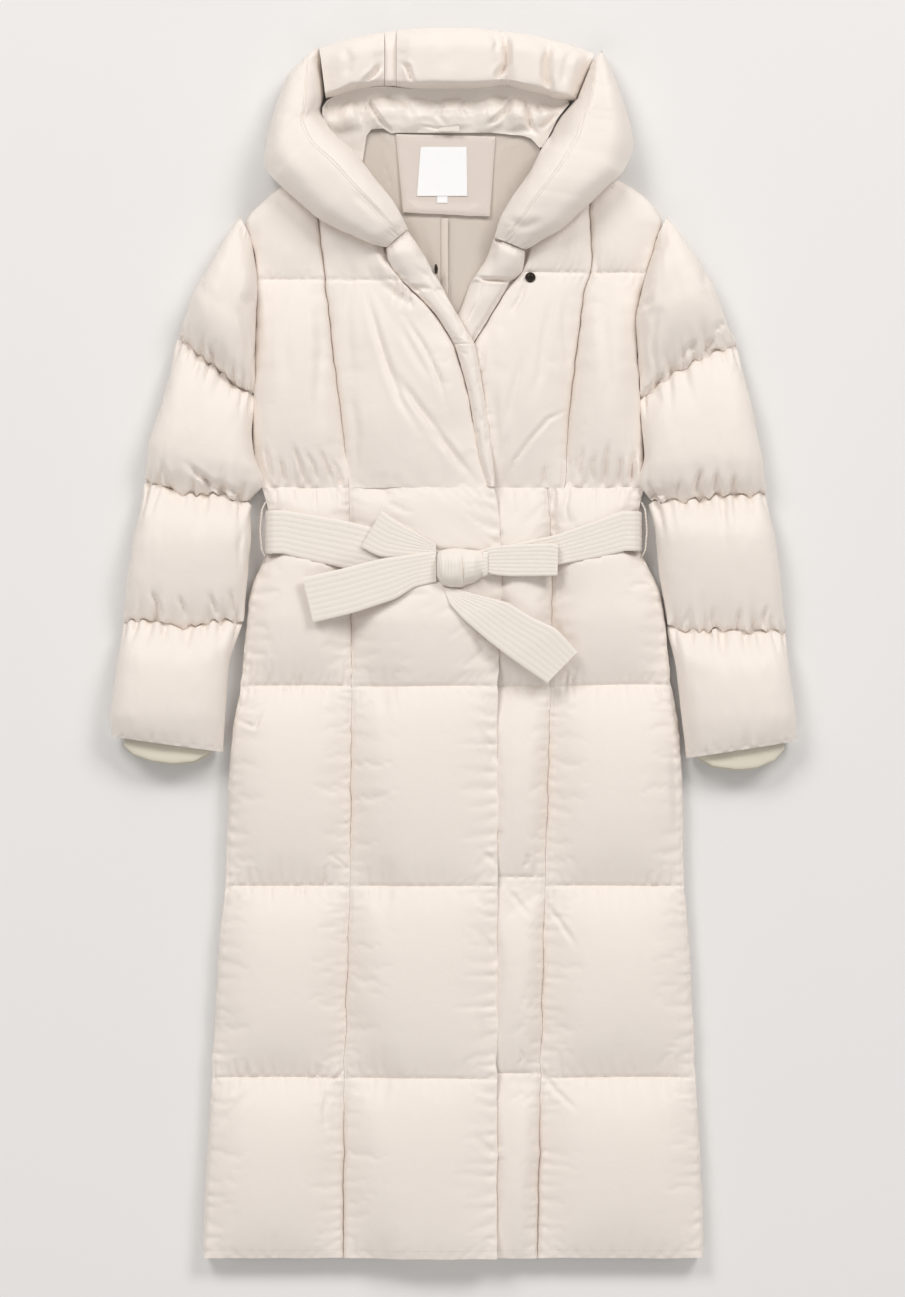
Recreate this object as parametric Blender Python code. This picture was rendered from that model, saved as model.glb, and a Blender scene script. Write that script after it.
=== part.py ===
"""Long wrap puffer coat with a big padded hood and a tied belt, laid flat on its back.

Millimetres in the tables, metres in the meshes. +X is the wearer's left, +Y runs from the
hem to the hood, +Z is up from the surface that the coat lies on. The layers, from below:
back, lining, left front, right front, belt. Quilting is raised in the outer faces, over
plain inner faces.
"""
import math

import bmesh
import bpy
import numpy as np

MM = 0.001
GAP = 0.3                      # between sewn pieces, and between layers
CENTRE_X, CENTRE_Y = 0.0, 714.0    # the origin's place in the tables, under the middle

# ---- driving dimensions ---------------------------------------------------------------
HEM, QUILT_1, QUILT_2, QUILT_3, WAIST = 0.0, 209.0, 432.0, 664.0, 894.0
YOKE = 1140.0                  # quilted line across the chest
BACK_THICK = 18.0              # the back, under everything
SEAM_WALL = 3.0                # padded wall along a quilted line
YOKE_WALL = 9.0                # the yoke's line is quilted less tightly
UNDERLAP_TOP = 30.0            # left front where the right front presses on it
SIDE_CROWN = 45.0              # top of the puffs of the side panels
UNDER_CROWN = 41.0             # top of the puffs of the left front's centre
LAP_CROWN = 50.0               # top of the puffs of the right front's centre
SHOULDER_CROWN = 34.0          # under the hood's weight
BELT_SEAT = 36.0               # front pressed flat by the belt
BELT_LOW, BELT_HIGH = 776.0, 880.0
HOOD_SEAT = 1160.0             # the hood lies on the shoulders above this
BELT_THICK = 3.2
BELT_RIB = 0.8
BELT_CHANNELS = 8              # stitched channels along the belt
SLEEVE_CROWN = 57.0
SLEEVE_SWAY = 4.0              # how much one puff of the sleeve is fuller than another
SNAP_DIA, SNAP_HIGH = 12.0, 3.0

# ---- outlines: y, x ---------------------------------------------------------------------
SIDE_RIGHT = [(0, -291), (93, -287), (209, -280), (356, -272), (437, -264), (565, -260),
              (615, -256), (664, -246.5), (776, -236), (812, -219), (816, -214.5),
              (876, -214.5), (880, -219), (894, -222)]
SIDE_LEFT = [(0, 289.5), (54, 289.4), (117, 286), (209, 280.5), (369, 273), (433, 267),
             (563, 265), (622, 261), (664, 252), (731, 246.5), (776, 239), (812, 220),
             (816, 215), (876, 215), (880, 219), (894, 221)]
ARMHOLE_RIGHT = [(894, -222), (916, -229), (954, -234), (1000, -232), (1028, -230.5),
                 (1065, -230), (1123, -229), (1160, -230), (1186, -236), (1202, -245)]
ARMHOLE_LEFT = [(894, 221), (917, 221.5), (949, 219.5), (993, 217), (1042, 214),
                (1090, 211), (1130, 221), (1160, 229), (1181, 235), (1202, 244)]
SHOULDER_RIGHT = [(1202, -245), (1218, -229), (1231, -216), (1242, -201), (1262, -168),
                  (1278, -132)]
SHOULDER_LEFT = [(1202, 244), (1218, 234), (1233, 219), (1248, 196), (1262, 160),
                 (1272, 124)]
BACK_NECK_RIGHT = [(1278, -132), (1292, -112), (1304, -103)]
BACK_NECK_LEFT = [(1272, 124), (1284, 98), (1304, 90)]
PRINCESS_RIGHT = [(0, -128), (209, -127), (432, -120), (664, -118), (821, -120), (894, -121),
                  (960, -128), (1060, -141), (1140, -149), (1160, -152), (1210, -157),
                  (1256, -164)]
PRINCESS_LEFT_SKIRT = [(0, 97), (209, 101), (432, 106), (664, 113), (821, 115), (894, 109)]
PRINCESS_LEFT = [(894, 129), (979, 134), (1060, 144), (1114, 150), (1150, 161), (1220, 158),
                 (1256, 158)]
LAP_EDGE = [(0, 50), (432, 51), (664, 51), (780, 56), (860, 56), (894, 47), (928, 44),
            (995, 35), (1059, 25), (1095, 4), (1133, -18), (1150, -27), (1192, -53)]
LAP_SEAM = [(894, 42), (928, 32), (1005, 17), (1059, 1), (1095, -22), (1124, -49.5),
            (1133.5, -59), (1144, -69), (1158, -77), (1172, -82), (1230, -98), (1272, -114)]
LAP_RISE = [(0, -64), (894, -64), (995, -42), (1059, -26), (1095, -38), (1123, -60),
            (1137, -76), (1172, -96), (1230, -110), (1272, -120)]
UNDERLAP_EDGE = [(0, -62), (894, -62), (980, -45), (1004, -38), (1028, -28), (1059, -16),
                 (1095, 6), (1133, 20)]
UNDERLAP_SEAM = [(894, -62), (980, -45), (1004, -20), (1028, 2), (1063, 25), (1111, 54),
                 (1130, 68), (1137, 75), (1146, 81), (1158, 83.5), (1167, 86), (1190, 98),
                 (1230, 106), (1266, 110)]
PRESS_LINE = [(0, 56), (664, 57), (776, 62), (876, 62), (894, 54), (980, 43), (1004, 40),
              (1028, 37), (1063, 31), (1111, 58), (1130, 71), (1137, 78), (1146, 84),
              (1158, 86), (1167, 90), (1190, 102), (1230, 112), (1266, 116)]
RISE_RUN = 14.0                # the right front steps up onto the left over this width

# soft troughs drawn into the chest by the wrap: x, y to x, y, half width, depth
LAP_FOLDS = [(-92, 1118, -38, 1000, 13, 9), (-38, 1000, 30, 905, 12, 8),
             (-118, 1080, -78, 985, 14, 6), (-70, 1122, -20, 1060, 12, 6)]
UNDER_FOLDS = [(74, 1118, 45, 1020, 12, 7), (96, 1090, 66, 985, 13, 6),
               (60, 985, 95, 905, 14, 6)]

# ---- sleeves, one row for each station from shoulder to hem --------------------------------
# t, outer x, outer y, inner x, inner y, bow (how far the station's middle is pushed down)
SLEEVE_RIGHT = [
    (0.0, -250, 1208, -240, 1188, 0), (1.0, -282, 1152, -229, 1123, 0),
    (2.0, -303, 1117, -230, 1065, 2), (2.5, -311, 1092, -230.5, 1028, 5),
    (3.0, -316, 1073, -232, 1000, 8), (4.0, -337, 1000, -234, 954, 5),
    (5.0, -354, 944, -229, 916, 2), (6.0, -356, 898, -241, 877, 0),
    (7.0, -372, 833, -239, 833, 0), (8.0, -379, 789, -244, 780, 0),
    (9.0, -382, 740, -250, 738, 5), (10.0, -389, 699, -262, 691, 3),
    (11.0, -398, 630, -265, 630, 0), (12.0, -396, 605, -267, 587, 0)]
SLEEVE_LEFT = [
    (0.0, 249, 1208, 237, 1183, 0), (1.0, 278, 1166, 221, 1130, 0),
    (2.0, 304, 1123, 211, 1090, -3), (2.5, 317, 1088, 214, 1042, -7),
    (3.0, 328, 1056, 217, 993, -12), (4.0, 346, 995, 219.5, 949, -6),
    (5.0, 359, 926, 221.5, 917, -3), (6.0, 361, 886, 236, 877, 0),
    (7.0, 373, 839, 239, 835, 0), (8.0, 380, 789, 243, 791, 0),
    (9.0, 385, 727, 252, 731, 4), (10.0, 389, 688, 259, 688, 2),
    (11.0, 397, 630, 265, 624, 0), (12.0, 398, 600, 270, 580, 0)]
SLEEVE_SEAMS = [0.0, 3.0, 6.0, 9.0, 12.0]
# t, both walls together along a quilted line
SLEEVE_LINES = [(0.0, 30.0), (3.0, 31.0), (9.0, 31.0), (12.0, 44.0)]
# the hollow, a slit but for its mouth: t, share of the sleeve's width, lowest, highest
SLEEVE_HOLLOW = [(12.0, 0.82, 10.0, 36.0), (11.0, 0.83, 11.0, 35.0), (10.4, 0.74, 19.6, 23.0),
                 (6.0, 0.70, 19.6, 23.0), (3.4, 0.66, 19.6, 23.0)]
# the inner cuff: how far below the sleeve's hem, how far inside the mouth of the hollow
CUFF = [(-26.0, 1.7), (0.0, 0.9), (11.0, 0.4), (16.0, 1.8), (14.0, 4.0), (0.0, 4.0),
        (-26.0, 4.6)]

# ---- hood: outer x, outer y, inner x, inner y, base, top -------------------------------------
LOBE_RIGHT = [
    (-194, 1371, -157, 1406, 0, 44), (-206, 1336, -152.4, 1378, 0, 60),
    (-217, 1298, -149.6, 1352, 0, 68), (-221, 1268, -154, 1333, 0, 72),
    (-207, 1248, -143, 1306, 34.5, 78), (-188, 1230, -115, 1282, 34.5, 81),
    (-157, 1203, -93, 1254, 34.5, 79), (-129, 1188, -70, 1225, 34.5, 72),
    (-100, 1176, -59, 1205, 34.5, 64), (-77, 1171, -53, 1191, 34.5, 50)]
LOBE_LEFT = [
    (173, 1401, 161, 1390, 0, 40), (186, 1372, 151, 1364, 0, 58),
    (196, 1346, 141, 1342, 0, 66), (207, 1312, 121, 1322, 0, 70),
    (209, 1285, 112, 1303, 0, 74), (195, 1255, 102, 1285, 34.5, 78),
    (177, 1239, 86, 1255, 34.5, 81), (156, 1218, 69, 1231, 34.5, 78),
    (126, 1191, 53, 1204, 34.5, 70), (82, 1168, 47, 1182, 34.5, 50)]
CROWN_RIGHT = [(-155.6, 1405, -148, 1345, 0, 46), (-120, 1415, -118, 1355, 0, 66),
               (-95, 1420, -96, 1359, 0, 64), (-80, 1423, -80, 1360, 0, 52)]
CROWN_STRIP = [(-79.6, 1423, -79.6, 1360, 0, 46), (-66.4, 1425, -66.4, 1359, 0, 46)]
CROWN_LEFT = [(-66, 1425, -66, 1359, 0, 52), (-50, 1427, -50, 1357, 0, 64),
              (-27, 1428, -27, 1357, 0, 69), (19, 1428, 19, 1357, 0, 69),
              (45, 1425, 45, 1359, 0, 64), (57, 1423, 59, 1362, 0, 50),
              (70, 1422, 71, 1359, 0, 64), (92, 1419, 92, 1354, 0, 67),
              (108, 1415, 110, 1350, 0, 56), (122, 1412, 117, 1346, 0, 64),
              (143, 1406, 128, 1344, 0, 62), (159.5, 1397, 138, 1343, 0, 48)]
# upper x, upper y, lower x, lower y, base, top
TAB_RIGHT = [(-77.5, 1170.2, -53, 1189.8, 34.5, 46), (-76, 1158, -40, 1172, 32, 54),
             (-68, 1144, -32, 1158, 30.6, 50), (-58, 1133.5, -22, 1141, 30.6, 44),
             (-49, 1124, -12, 1124, 30.6, 42)]
TAB_LEFT = [(47, 1181, 82, 1166.5, 34.5, 46), (44, 1172, 81, 1156, 26, 50),
            (38, 1158, 79, 1144, 20.9, 46), (28, 1144, 70, 1136, 20.9, 40),
            (21, 1134, 64, 1134, 20.9, 36)]
HOOD_BACK = [(-120, 1288), (-112.6, 1293), (-103.6, 1305), (90.6, 1305), (98.3, 1285.2),
             (102, 1288), (111, 1304), (118, 1322), (124, 1341), (90, 1347), (59, 1354),
             (19, 1352), (-66, 1353), (-118, 1350), (-143, 1343), (-152, 1333),
             (-141.6, 1305.6)]
LINING_CORNER = [(-112, 1268), (-106, 1268), (-103, 1286), (-101, 1304.8), (-140, 1304.8)]
# x, neck seam y, rim y, crest
HOOD_LINING = [(-138, 1305.2, 1338, 24), (-122, 1305.2, 1346, 33),
               (-104, 1305.2, 1350, 25), (-86, 1305.5, 1352, 34), (-66, 1305.5, 1352, 26),
               (-46, 1305.5, 1351, 31),
               (-24, 1305.5, 1350, 25), (0, 1305.5, 1350, 32), (22, 1305.5, 1350, 24),
               (44, 1305.5, 1352, 34), (60, 1305.5, 1353, 27), (74, 1306, 1350, 37),
               (90, 1306, 1347, 24), (105, 1312, 1342, 33), (117, 1324, 1339, 24)]

# ---- belt: upper x, upper y, lower x, lower y, underside z ------------------------------------
RUN_RIGHT = [(-196, 867, -197, 817, 36.3), (-178, 864, -178, 812, 36.3),
             (-125, 855, -128, 800, 36.3), (-76, 842, -79, 791, 36.3),
             (-19, 821, -19, 785, 36.3), (6, 816, 6, 786, 36.3)]
RUN_LEFT = [(196, 866, 199, 820, 36.3), (160, 853, 165, 812, 36.3),
            (117, 838, 122, 804, 36.3), (34, 821, 34, 790, 36.3), (6.6, 816, 6.6, 786, 36.3)]
# how the runs turn down over the sides: x, underside z, tilt in degrees
RUN_TURN = [(200, 36.3, 8), (208, 34.6, 28), (213.5, 29.5, 60), (215.4, 22, 88),
            (215.6, 6, 90)]
TAIL_RIGHT = [(-20, 820, -20, 784, 41.4), (-45, 816, -45, 778, 44.5),
              (-83, 811, -67, 764, 48.5), (-129, 799, -119, 747, 50.8),
              (-174, 789, -162, 737, 50.8)]
END_RIGHT = [(-20, 828, -20, 821, 41.4), (-50, 845, -52, 816.5, 41.4),
             (-83, 866, -107, 824, 41.4)]
BOW_LEFT = [(34.5, 821, 34.5, 796, 41.4), (46, 826, 46, 792, 41.4), (117, 829, 66, 790, 41.4),
            (121, 826, 120, 791, 41.4)]
TAIL_LEFT = [(4, 776.4, -12, 777.4, 41.4), (20, 771, -4, 757, 47), (61, 761, 12, 740, 50.8),
             (92, 742, 40, 716, 50.8), (119, 730, 66, 696, 50.8), (143, 703, 108, 667, 47)]
# the thread loops over the belt at the side seams: x, y
LOOP = [(218.0, 878.0), (221.2, 869.0), (221.2, 818.5), (218.8, 814.0)]
LOOP_RADIUS, LOOP_HIGH = 1.0, 20.0
KNOT = [(-19.3, 818, -19.3, 789, 40.7, 52), (-10, 822, -10, 778, 40.7, 60),
        (8, 823, 8, 776.5, 40.7, 64), (24, 821, 24, 781, 40.7, 60),
        (33.8, 816, 33.8, 793, 40.7, 52)]

# ---- neck -------------------------------------------------------------------------------
# y, left x, right x
BACK_LINING = [(1046, -20, -12), (1059, -23, 2), (1095, -34, 20), (1123, -56, 33),
               (1172, -92, 70), (1230, -106, 98), (1266, -110, 94), (1304, -100, 88)]
PATCH = [(-67, 1304), (48.5, 1301), (42, 1208), (-58.5, 1213)]
LABEL = [(-38, 1289), (15, 1289), (16, 1232), (-42.5, 1232)]
SIZE_TAG = [(-19, 1231.6), (-7, 1231.6), (-7, 1224), (-19, 1224)]
LINING_THICK, PATCH_THICK, LABEL_THICK = 2.0, 3.4, 0.8
PLEAT = [(-15, 1206.5), (-6.5, 1206.5), (-6.5, 1080), (-15, 1080)]
SNAP_LEFT = (89, 1137, 30.4)
SNAP_RIGHT = (-20.6, 1146, 37.0)
SNAP_TURN = 73.0               # the right front's snap faces into the neck opening

# ---- colours ------------------------------------------------------------------------------
SHELL = ("shell_nylon", (0.86, 0.79, 0.73), 0.55, 0.0)
BELT_CLOTH = ("belt_nylon", (0.87, 0.81, 0.74), 0.55, 0.0)
SATIN = ("hood_satin", (0.77, 0.71, 0.62), 0.35, 0.0)
TAUPE = ("body_lining", (0.67, 0.58, 0.50), 0.5, 0.0)
CUFF_KNIT = ("cuff_cloth", (0.84, 0.81, 0.66), 0.8, 0.0)
LABEL_WHITE = ("label_white", (0.93, 0.93, 0.92), 0.6, 0.0)
SNAP_METAL = ("snap_metal", (0.045, 0.035, 0.03), 0.35, 0.9)


def clear_scene():
    for old in list(bpy.data.objects):
        bpy.data.objects.remove(old, do_unlink=True)


def material_for(spec):
    """One Principled material for each kind of cloth or metal."""
    name, colour, roughness, metallic = spec
    made = bpy.data.materials.get(name)
    if made:
        return made
    made = bpy.data.materials.new(name)
    made.use_nodes = True
    shader = made.node_tree.nodes["Principled BSDF"]
    shader.inputs["Base Color"].default_value = (*colour, 1.0)
    shader.inputs["Roughness"].default_value = roughness
    shader.inputs["Metallic"].default_value = metallic
    return made


def add_solid(name, points, faces, spec):
    """One closed mesh from points in millimetres."""
    mesh = bpy.data.meshes.new(name)
    placed = [((x - CENTRE_X) * MM, (y - CENTRE_Y) * MM, z * MM) for x, y, z in points]
    mesh.from_pydata(placed, [], faces)
    shape = bmesh.new()
    shape.from_mesh(mesh)
    bmesh.ops.recalc_face_normals(shape, faces=shape.faces)
    shape.to_mesh(mesh)
    shape.free()
    mesh.materials.append(material_for(spec))
    solid = bpy.data.objects.new(name, mesh)
    bpy.context.scene.collection.objects.link(solid)
    return solid


def line(*tables, shift=0.0):
    """x as a function of y, through the rows of one or more tables."""
    rows = [row for table in tables for row in table]
    ys, xs = [row[0] for row in rows], [row[1] for row in rows]
    return lambda y: float(np.interp(y, ys, xs)) + shift


def pillow(f, power):
    """0 at the seams, 1 over the middle, with full rounded shoulders."""
    return 1.0 - abs(2.0 * min(max(f, 0.0), 1.0) - 1.0) ** power


def breaks(*tables, low=-1000.0, high=10000.0, more=()):
    """Every y at which one of the outlines turns, so that neighbours turn together."""
    ys = {row[0] for table in tables for row in table} | set(more)
    return sorted(y for y in ys if low <= y <= high)


def rows_between(levels, fractions):
    """The y of each row of points, with the same spacing inside each quilted field."""
    rows = []
    for low, high in zip(levels, levels[1:]):
        rows += [low + (high - low) * f for f in fractions]
    return rows + [levels[-1]]


def field_of(y, levels):
    """Where y lies in its quilted field, from 0 to 1."""
    for low, high in zip(levels, levels[1:]):
        if y <= high:
            return (y - low) / (high - low)
    return 1.0


def panel(name, rows, lines, counts, unders, top, spec=SHELL):
    """A padded panel between upright lines, with a plain underside.

    lines give x for each y, counts the columns between them, unders the underside's z at
    each line. top(x, y, u, under) is the outer face.
    """
    points, upper, lower = [], [], {}
    columns = sum(counts)
    for j, y in enumerate(rows):
        at = [edge(y) for edge in lines]
        xs, zs, marks = [at[0]], [unders[0]], [0]
        for k, count in enumerate(counts):
            for step in range(1, count + 1):
                xs.append(at[k] + (at[k + 1] - at[k]) * step / count)
                zs.append(unders[k] + (unders[k + 1] - unders[k]) * step / count)
            marks.append(len(xs) - 1)
        upper.append([])
        for i, (x, under) in enumerate(zip(xs, zs)):
            upper[j].append(len(points))
            points.append((x, y, top(x, y, i / columns, under)))
            if i in marks or j in (0, len(rows) - 1):
                lower[j, i] = len(points)
                points.append((x, y, under))
    last = len(rows) - 1
    faces = []
    for j in range(last):
        for i in range(columns):
            faces.append((upper[j][i], upper[j][i + 1], upper[j + 1][i + 1], upper[j + 1][i]))
        for i in (0, columns):
            faces.append((upper[j][i], upper[j + 1][i], lower[j + 1, i], lower[j, i]))
    for i in range(columns):
        for j in (0, last):
            faces.append((upper[j][i], upper[j][i + 1], lower[j, i + 1], lower[j, i]))
    for k, count in enumerate(counts):
        a, b = marks[k], marks[k + 1]
        if unders[k] == unders[k + 1]:
            rim = [lower[j, a] for j in range(last)]
            rim += [lower[last, i] for i in range(a, b)]
            rim += [lower[j, b] for j in range(last, 0, -1)]
            rim += [lower[0, i] for i in range(b, a, -1)]
            faces.append(tuple(rim))
        else:
            for j in range(last):
                faces.append((lower[j, a], lower[j, b], lower[j + 1, b], lower[j + 1, a]))
    return add_solid(name, points, faces, spec)


def fold_at(x, y, folds):
    """How deep the troughs are at a point, each fading out towards its ends."""
    deep = 0.0
    for ax, ay, bx, by, half, depth in folds:
        run = (bx - ax) ** 2 + (by - ay) ** 2
        f = min(max(((x - ax) * (bx - ax) + (y - ay) * (by - ay)) / run, 0.0), 1.0)
        away = math.hypot(x - ax - f * (bx - ax), y - ay - f * (by - ay))
        deep += depth * math.exp(-(away / half) ** 2) * (0.4 + 0.6 * pillow(f, 2.0))
    return deep


def quilted(levels, walls, crown, ceiling, gathers=0, depth=0.0, side_power=3.2, folds=()):
    """The outer face of a quilted panel.

    walls is the padded wall along each level, crown the top of the puffs, ceiling(x, y) what
    presses on them, gathers the number of puckers drawn in along each level, folds its
    largest troughs.
    """
    def top(x, y, u, under):
        f = field_of(y, levels)
        wall = float(np.interp(y, levels, walls))
        low = under + wall
        z = low + (crown - low) * pillow(f, 2.6) * pillow(u, side_power)
        if gathers:
            near = math.exp(-min(abs(y - level) for level in levels) / 26.0)
            away = 0.25 + 0.75 * pillow(f, 2.0)
            lean = 0.6 * math.sin(0.05 * y)
            z += depth * near * away * pillow(u, 6) * math.cos(2 * math.pi * gathers * u + lean)
        z -= fold_at(x, y, folds)
        return max(min(z, ceiling(x, y)), under + SEAM_WALL)
    return top


def loft(name, rings, spec=SHELL, joined=False):
    """A skin over rings of points, with flat ends, or joined end to end."""
    count, last = len(rings[0]), len(rings) - 1
    points = [point for ring in rings for point in ring]
    faces = []
    for j in range(len(rings) if joined else last):
        n = (j + 1) % len(rings)
        for i in range(count):
            k = (i + 1) % count
            faces.append((j * count + i, j * count + k, n * count + k, n * count + i))
    if not joined:
        faces.append(tuple(range(count)))
        faces.append(tuple(last * count + i for i in range(count)))
    return add_solid(name, points, faces, spec)


def roll(name, stations, edge=12.0, across=8, power=2.4, spec=SHELL):
    """A padded roll: each station has its outer and inner edge, its base and its top."""
    rings = []
    for ax, ay, bx, by, base, top in stations:
        side = min(edge, 0.6 * (top - base))
        ring = []
        for i in range(across + 1):
            f = i / across
            z = base + side + (top - base - side) * pillow(f, power)
            ring.append((ax + (bx - ax) * f, ay + (by - ay) * f, z))
        ring += [(bx, by, base), (ax, ay, base)]
        rings.append(ring)
    return loft(name, rings, spec)


def ribbed_ring(upper, lower, tilt, thick):
    """A section across the belt, with a rib for each stitched channel.

    upper and lower are the edges of its underside, tilt turns it over the coat's side.
    """
    out = (math.sin(tilt), 0.0, math.cos(tilt))
    steps = 2 * BELT_CHANNELS
    ring = []
    for i in range(steps + 1):
        f = i / steps
        high = thick + (BELT_RIB if i % 2 else 0.0)
        ring.append(tuple(a + (b - a) * f + high * n for a, b, n in zip(upper, lower, out)))
    return ring + [tuple(lower), tuple(upper)]


def belt_piece(name, stations, thick=BELT_THICK, turn=()):
    """A length of belt lying on the coat; turn takes it down over the side."""
    side = -1.0 if stations[0][0] < 0 else 1.0
    rings = [ribbed_ring((ax, ay, z), (bx, by, z), 0.0, thick)
             for ax, ay, bx, by, z in stations]
    ay, by = stations[0][1] + 1.0, stations[0][3] + 1.0
    for x, z, tilt in turn:
        angle = math.radians(tilt) * side
        rings.insert(0, ribbed_ring((x * side, ay, z), (x * side, by, z), angle, thick))
    return loft(name, rings, BELT_CLOTH)


def slab(name, outline, base, thick, spec, puff=0.0):
    """A flat piece of cloth of any outline, with a slightly raised middle."""
    mid_x = sum(x for x, _ in outline) / len(outline)
    mid_y = sum(y for _, y in outline) / len(outline)
    count = len(outline)
    inner = [(mid_x + (x - mid_x) * 0.9, mid_y + (y - mid_y) * 0.9) for x, y in outline]
    points = [(x, y, base) for x, y in outline]
    points += [(x, y, base + thick) for x, y in outline]
    points += [(x, y, base + thick + puff) for x, y in inner]
    faces = [tuple(range(count)), tuple(range(2 * count, 3 * count))]
    for ring in (0, count):
        for i in range(count):
            k = (i + 1) % count
            faces.append((ring + i, ring + k, ring + count + k, ring + count + i))
    if puff == 0.0:
        points = points[:2 * count]
        faces = faces[:1] + [tuple(range(count, 2 * count))] + faces[2:2 + count]
    return add_solid(name, points, faces, spec)


def disc(name, centre, turn=0.0):
    """A snap: a low round head, lying flat or turned up about Y."""
    profile = [(0.5, 0.0), (0.5, 0.45), (0.42, 0.75), (0.24, 0.8), (0.2, 0.55)]
    c, s = math.cos(math.radians(turn)), math.sin(math.radians(turn))
    rings = []
    for reach, high in profile:
        ring = []
        for k in range(16):
            a = 2 * math.pi * k / 16
            x, y = SNAP_DIA * reach * math.cos(a), SNAP_DIA * reach * math.sin(a)
            z = SNAP_HIGH * high
            ring.append((centre[0] + x * c + z * s, centre[1] + y, centre[2] - x * s + z * c))
        rings.append(ring)
    return loft(name, rings, SNAP_METAL)


# ---- what presses on the fronts ---------------------------------------------------------------
def pressed_by_belt_and_hood(x, y):
    if y >= HOOD_SEAT:
        return SHOULDER_CROWN
    if BELT_LOW - 0.01 <= y <= BELT_HIGH + 0.01:
        return BELT_SEAT
    return 1000.0


def pressed_by_right_front(x, y):
    if x <= line(PRESS_LINE)(y) + 0.01:
        return UNDERLAP_TOP
    return pressed_by_belt_and_hood(x, y)


# ---- body -------------------------------------------------------------------------------
FIELD = [0.0, 0.07, 0.18, 0.34, 0.5, 0.66, 0.82, 0.93]
BELT_ROWS = [QUILT_3, 680.0, 706.0, 742.0, BELT_LOW, 812.0, 816.0, 876.0, BELT_HIGH,
             WAIST - GAP]
SKIRT_LEVELS = [HEM, QUILT_1, QUILT_2, QUILT_3, WAIST - GAP]
SKIRT_WALLS = [8.0, SEAM_WALL, SEAM_WALL, SEAM_WALL, SEAM_WALL]
SKIRT_ROWS = rows_between(SKIRT_LEVELS[:4], FIELD)[:-1] + BELT_ROWS
CHEST_LEVELS = [WAIST, YOKE, 1330.0]
CHEST_WALLS = [SEAM_WALL, YOKE_WALL, YOKE_WALL]
UNDER = BACK_THICK + GAP
LAP_UNDER = UNDERLAP_TOP + GAP


def build_back():
    """The back: flat underneath, rounded at the sides, with a groove for the belt."""
    def half(rows, left, right, groove):
        rings = []
        for y in rows:
            a, b = left(y), right(y)
            floor = 4.2 if groove and groove[0] <= y <= groove[1] else 0.0
            floor = max(floor, float(np.interp(y, [HEM, 4, 12], [7.0, 2.0, 0.0])))
            full = pillow(field_of(y, SKIRT_LEVELS if y < WAIST else CHEST_LEVELS), 2.6)
            inset = 1.0 if floor > 4.0 else 15.0 - 9.0 * full
            rings.append([(a + inset, y, floor), (a + inset * 0.2, y, max(3.0, floor + 1)),
                          (a, y, 9.0), (a, y, BACK_THICK), (b, y, BACK_THICK), (b, y, 9.0),
                          (b - inset * 0.2, y, max(3.0, floor + 1)), (b - inset, y, floor)])
        return rings
    skirt_rows = breaks(SIDE_RIGHT, SIDE_LEFT, high=WAIST - 1,
                        more=(4, 12, 30, 180, 240, 400, 465, 636, 692))
    skirt_rows = sorted(skirt_rows + [811, 877, WAIST - GAP])
    loft("back_skirt", half(skirt_rows, line(SIDE_RIGHT), line(SIDE_LEFT), (812, 876)))
    chest_rows = breaks(ARMHOLE_RIGHT, ARMHOLE_LEFT, SHOULDER_RIGHT, SHOULDER_LEFT,
                        BACK_NECK_RIGHT, BACK_NECK_LEFT)
    left = line(ARMHOLE_RIGHT, SHOULDER_RIGHT[1:], BACK_NECK_RIGHT[1:])
    right = line(ARMHOLE_LEFT, SHOULDER_LEFT[1:], BACK_NECK_LEFT[1:])
    loft("back_bodice", half(chest_rows, left, right, None))


def build_skirt_fronts():
    open_air = pressed_by_belt_and_hood
    side = quilted(SKIRT_LEVELS, SKIRT_WALLS, SIDE_CROWN, open_air, gathers=7, depth=3.6)
    panel("right_skirt_side", SKIRT_ROWS, [line(SIDE_RIGHT), line(PRINCESS_RIGHT, shift=-GAP)],
          [14], [UNDER, UNDER], side)
    panel("left_skirt_side", SKIRT_ROWS, [line(PRINCESS_LEFT_SKIRT, shift=GAP),
                                          line(SIDE_LEFT)], [14], [UNDER, UNDER], side)
    lap = quilted(SKIRT_LEVELS, SKIRT_WALLS, LAP_CROWN, open_air, gathers=3, depth=2.0)
    panel("right_skirt_centre", SKIRT_ROWS,
          [line(PRINCESS_RIGHT), line(LAP_RISE, shift=-RISE_RUN), line(LAP_RISE),
           line(LAP_EDGE)], [3, 1, 6], [UNDER, UNDER, LAP_UNDER, LAP_UNDER], lap)
    under = quilted(SKIRT_LEVELS, SKIRT_WALLS, UNDER_CROWN, pressed_by_right_front,
                    side_power=9)
    panel("left_skirt_centre", SKIRT_ROWS,
          [line(UNDERLAP_EDGE), line(PRESS_LINE), line(PRINCESS_LEFT_SKIRT)], [2, 4],
          [UNDER, UNDER, UNDER], under)


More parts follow.
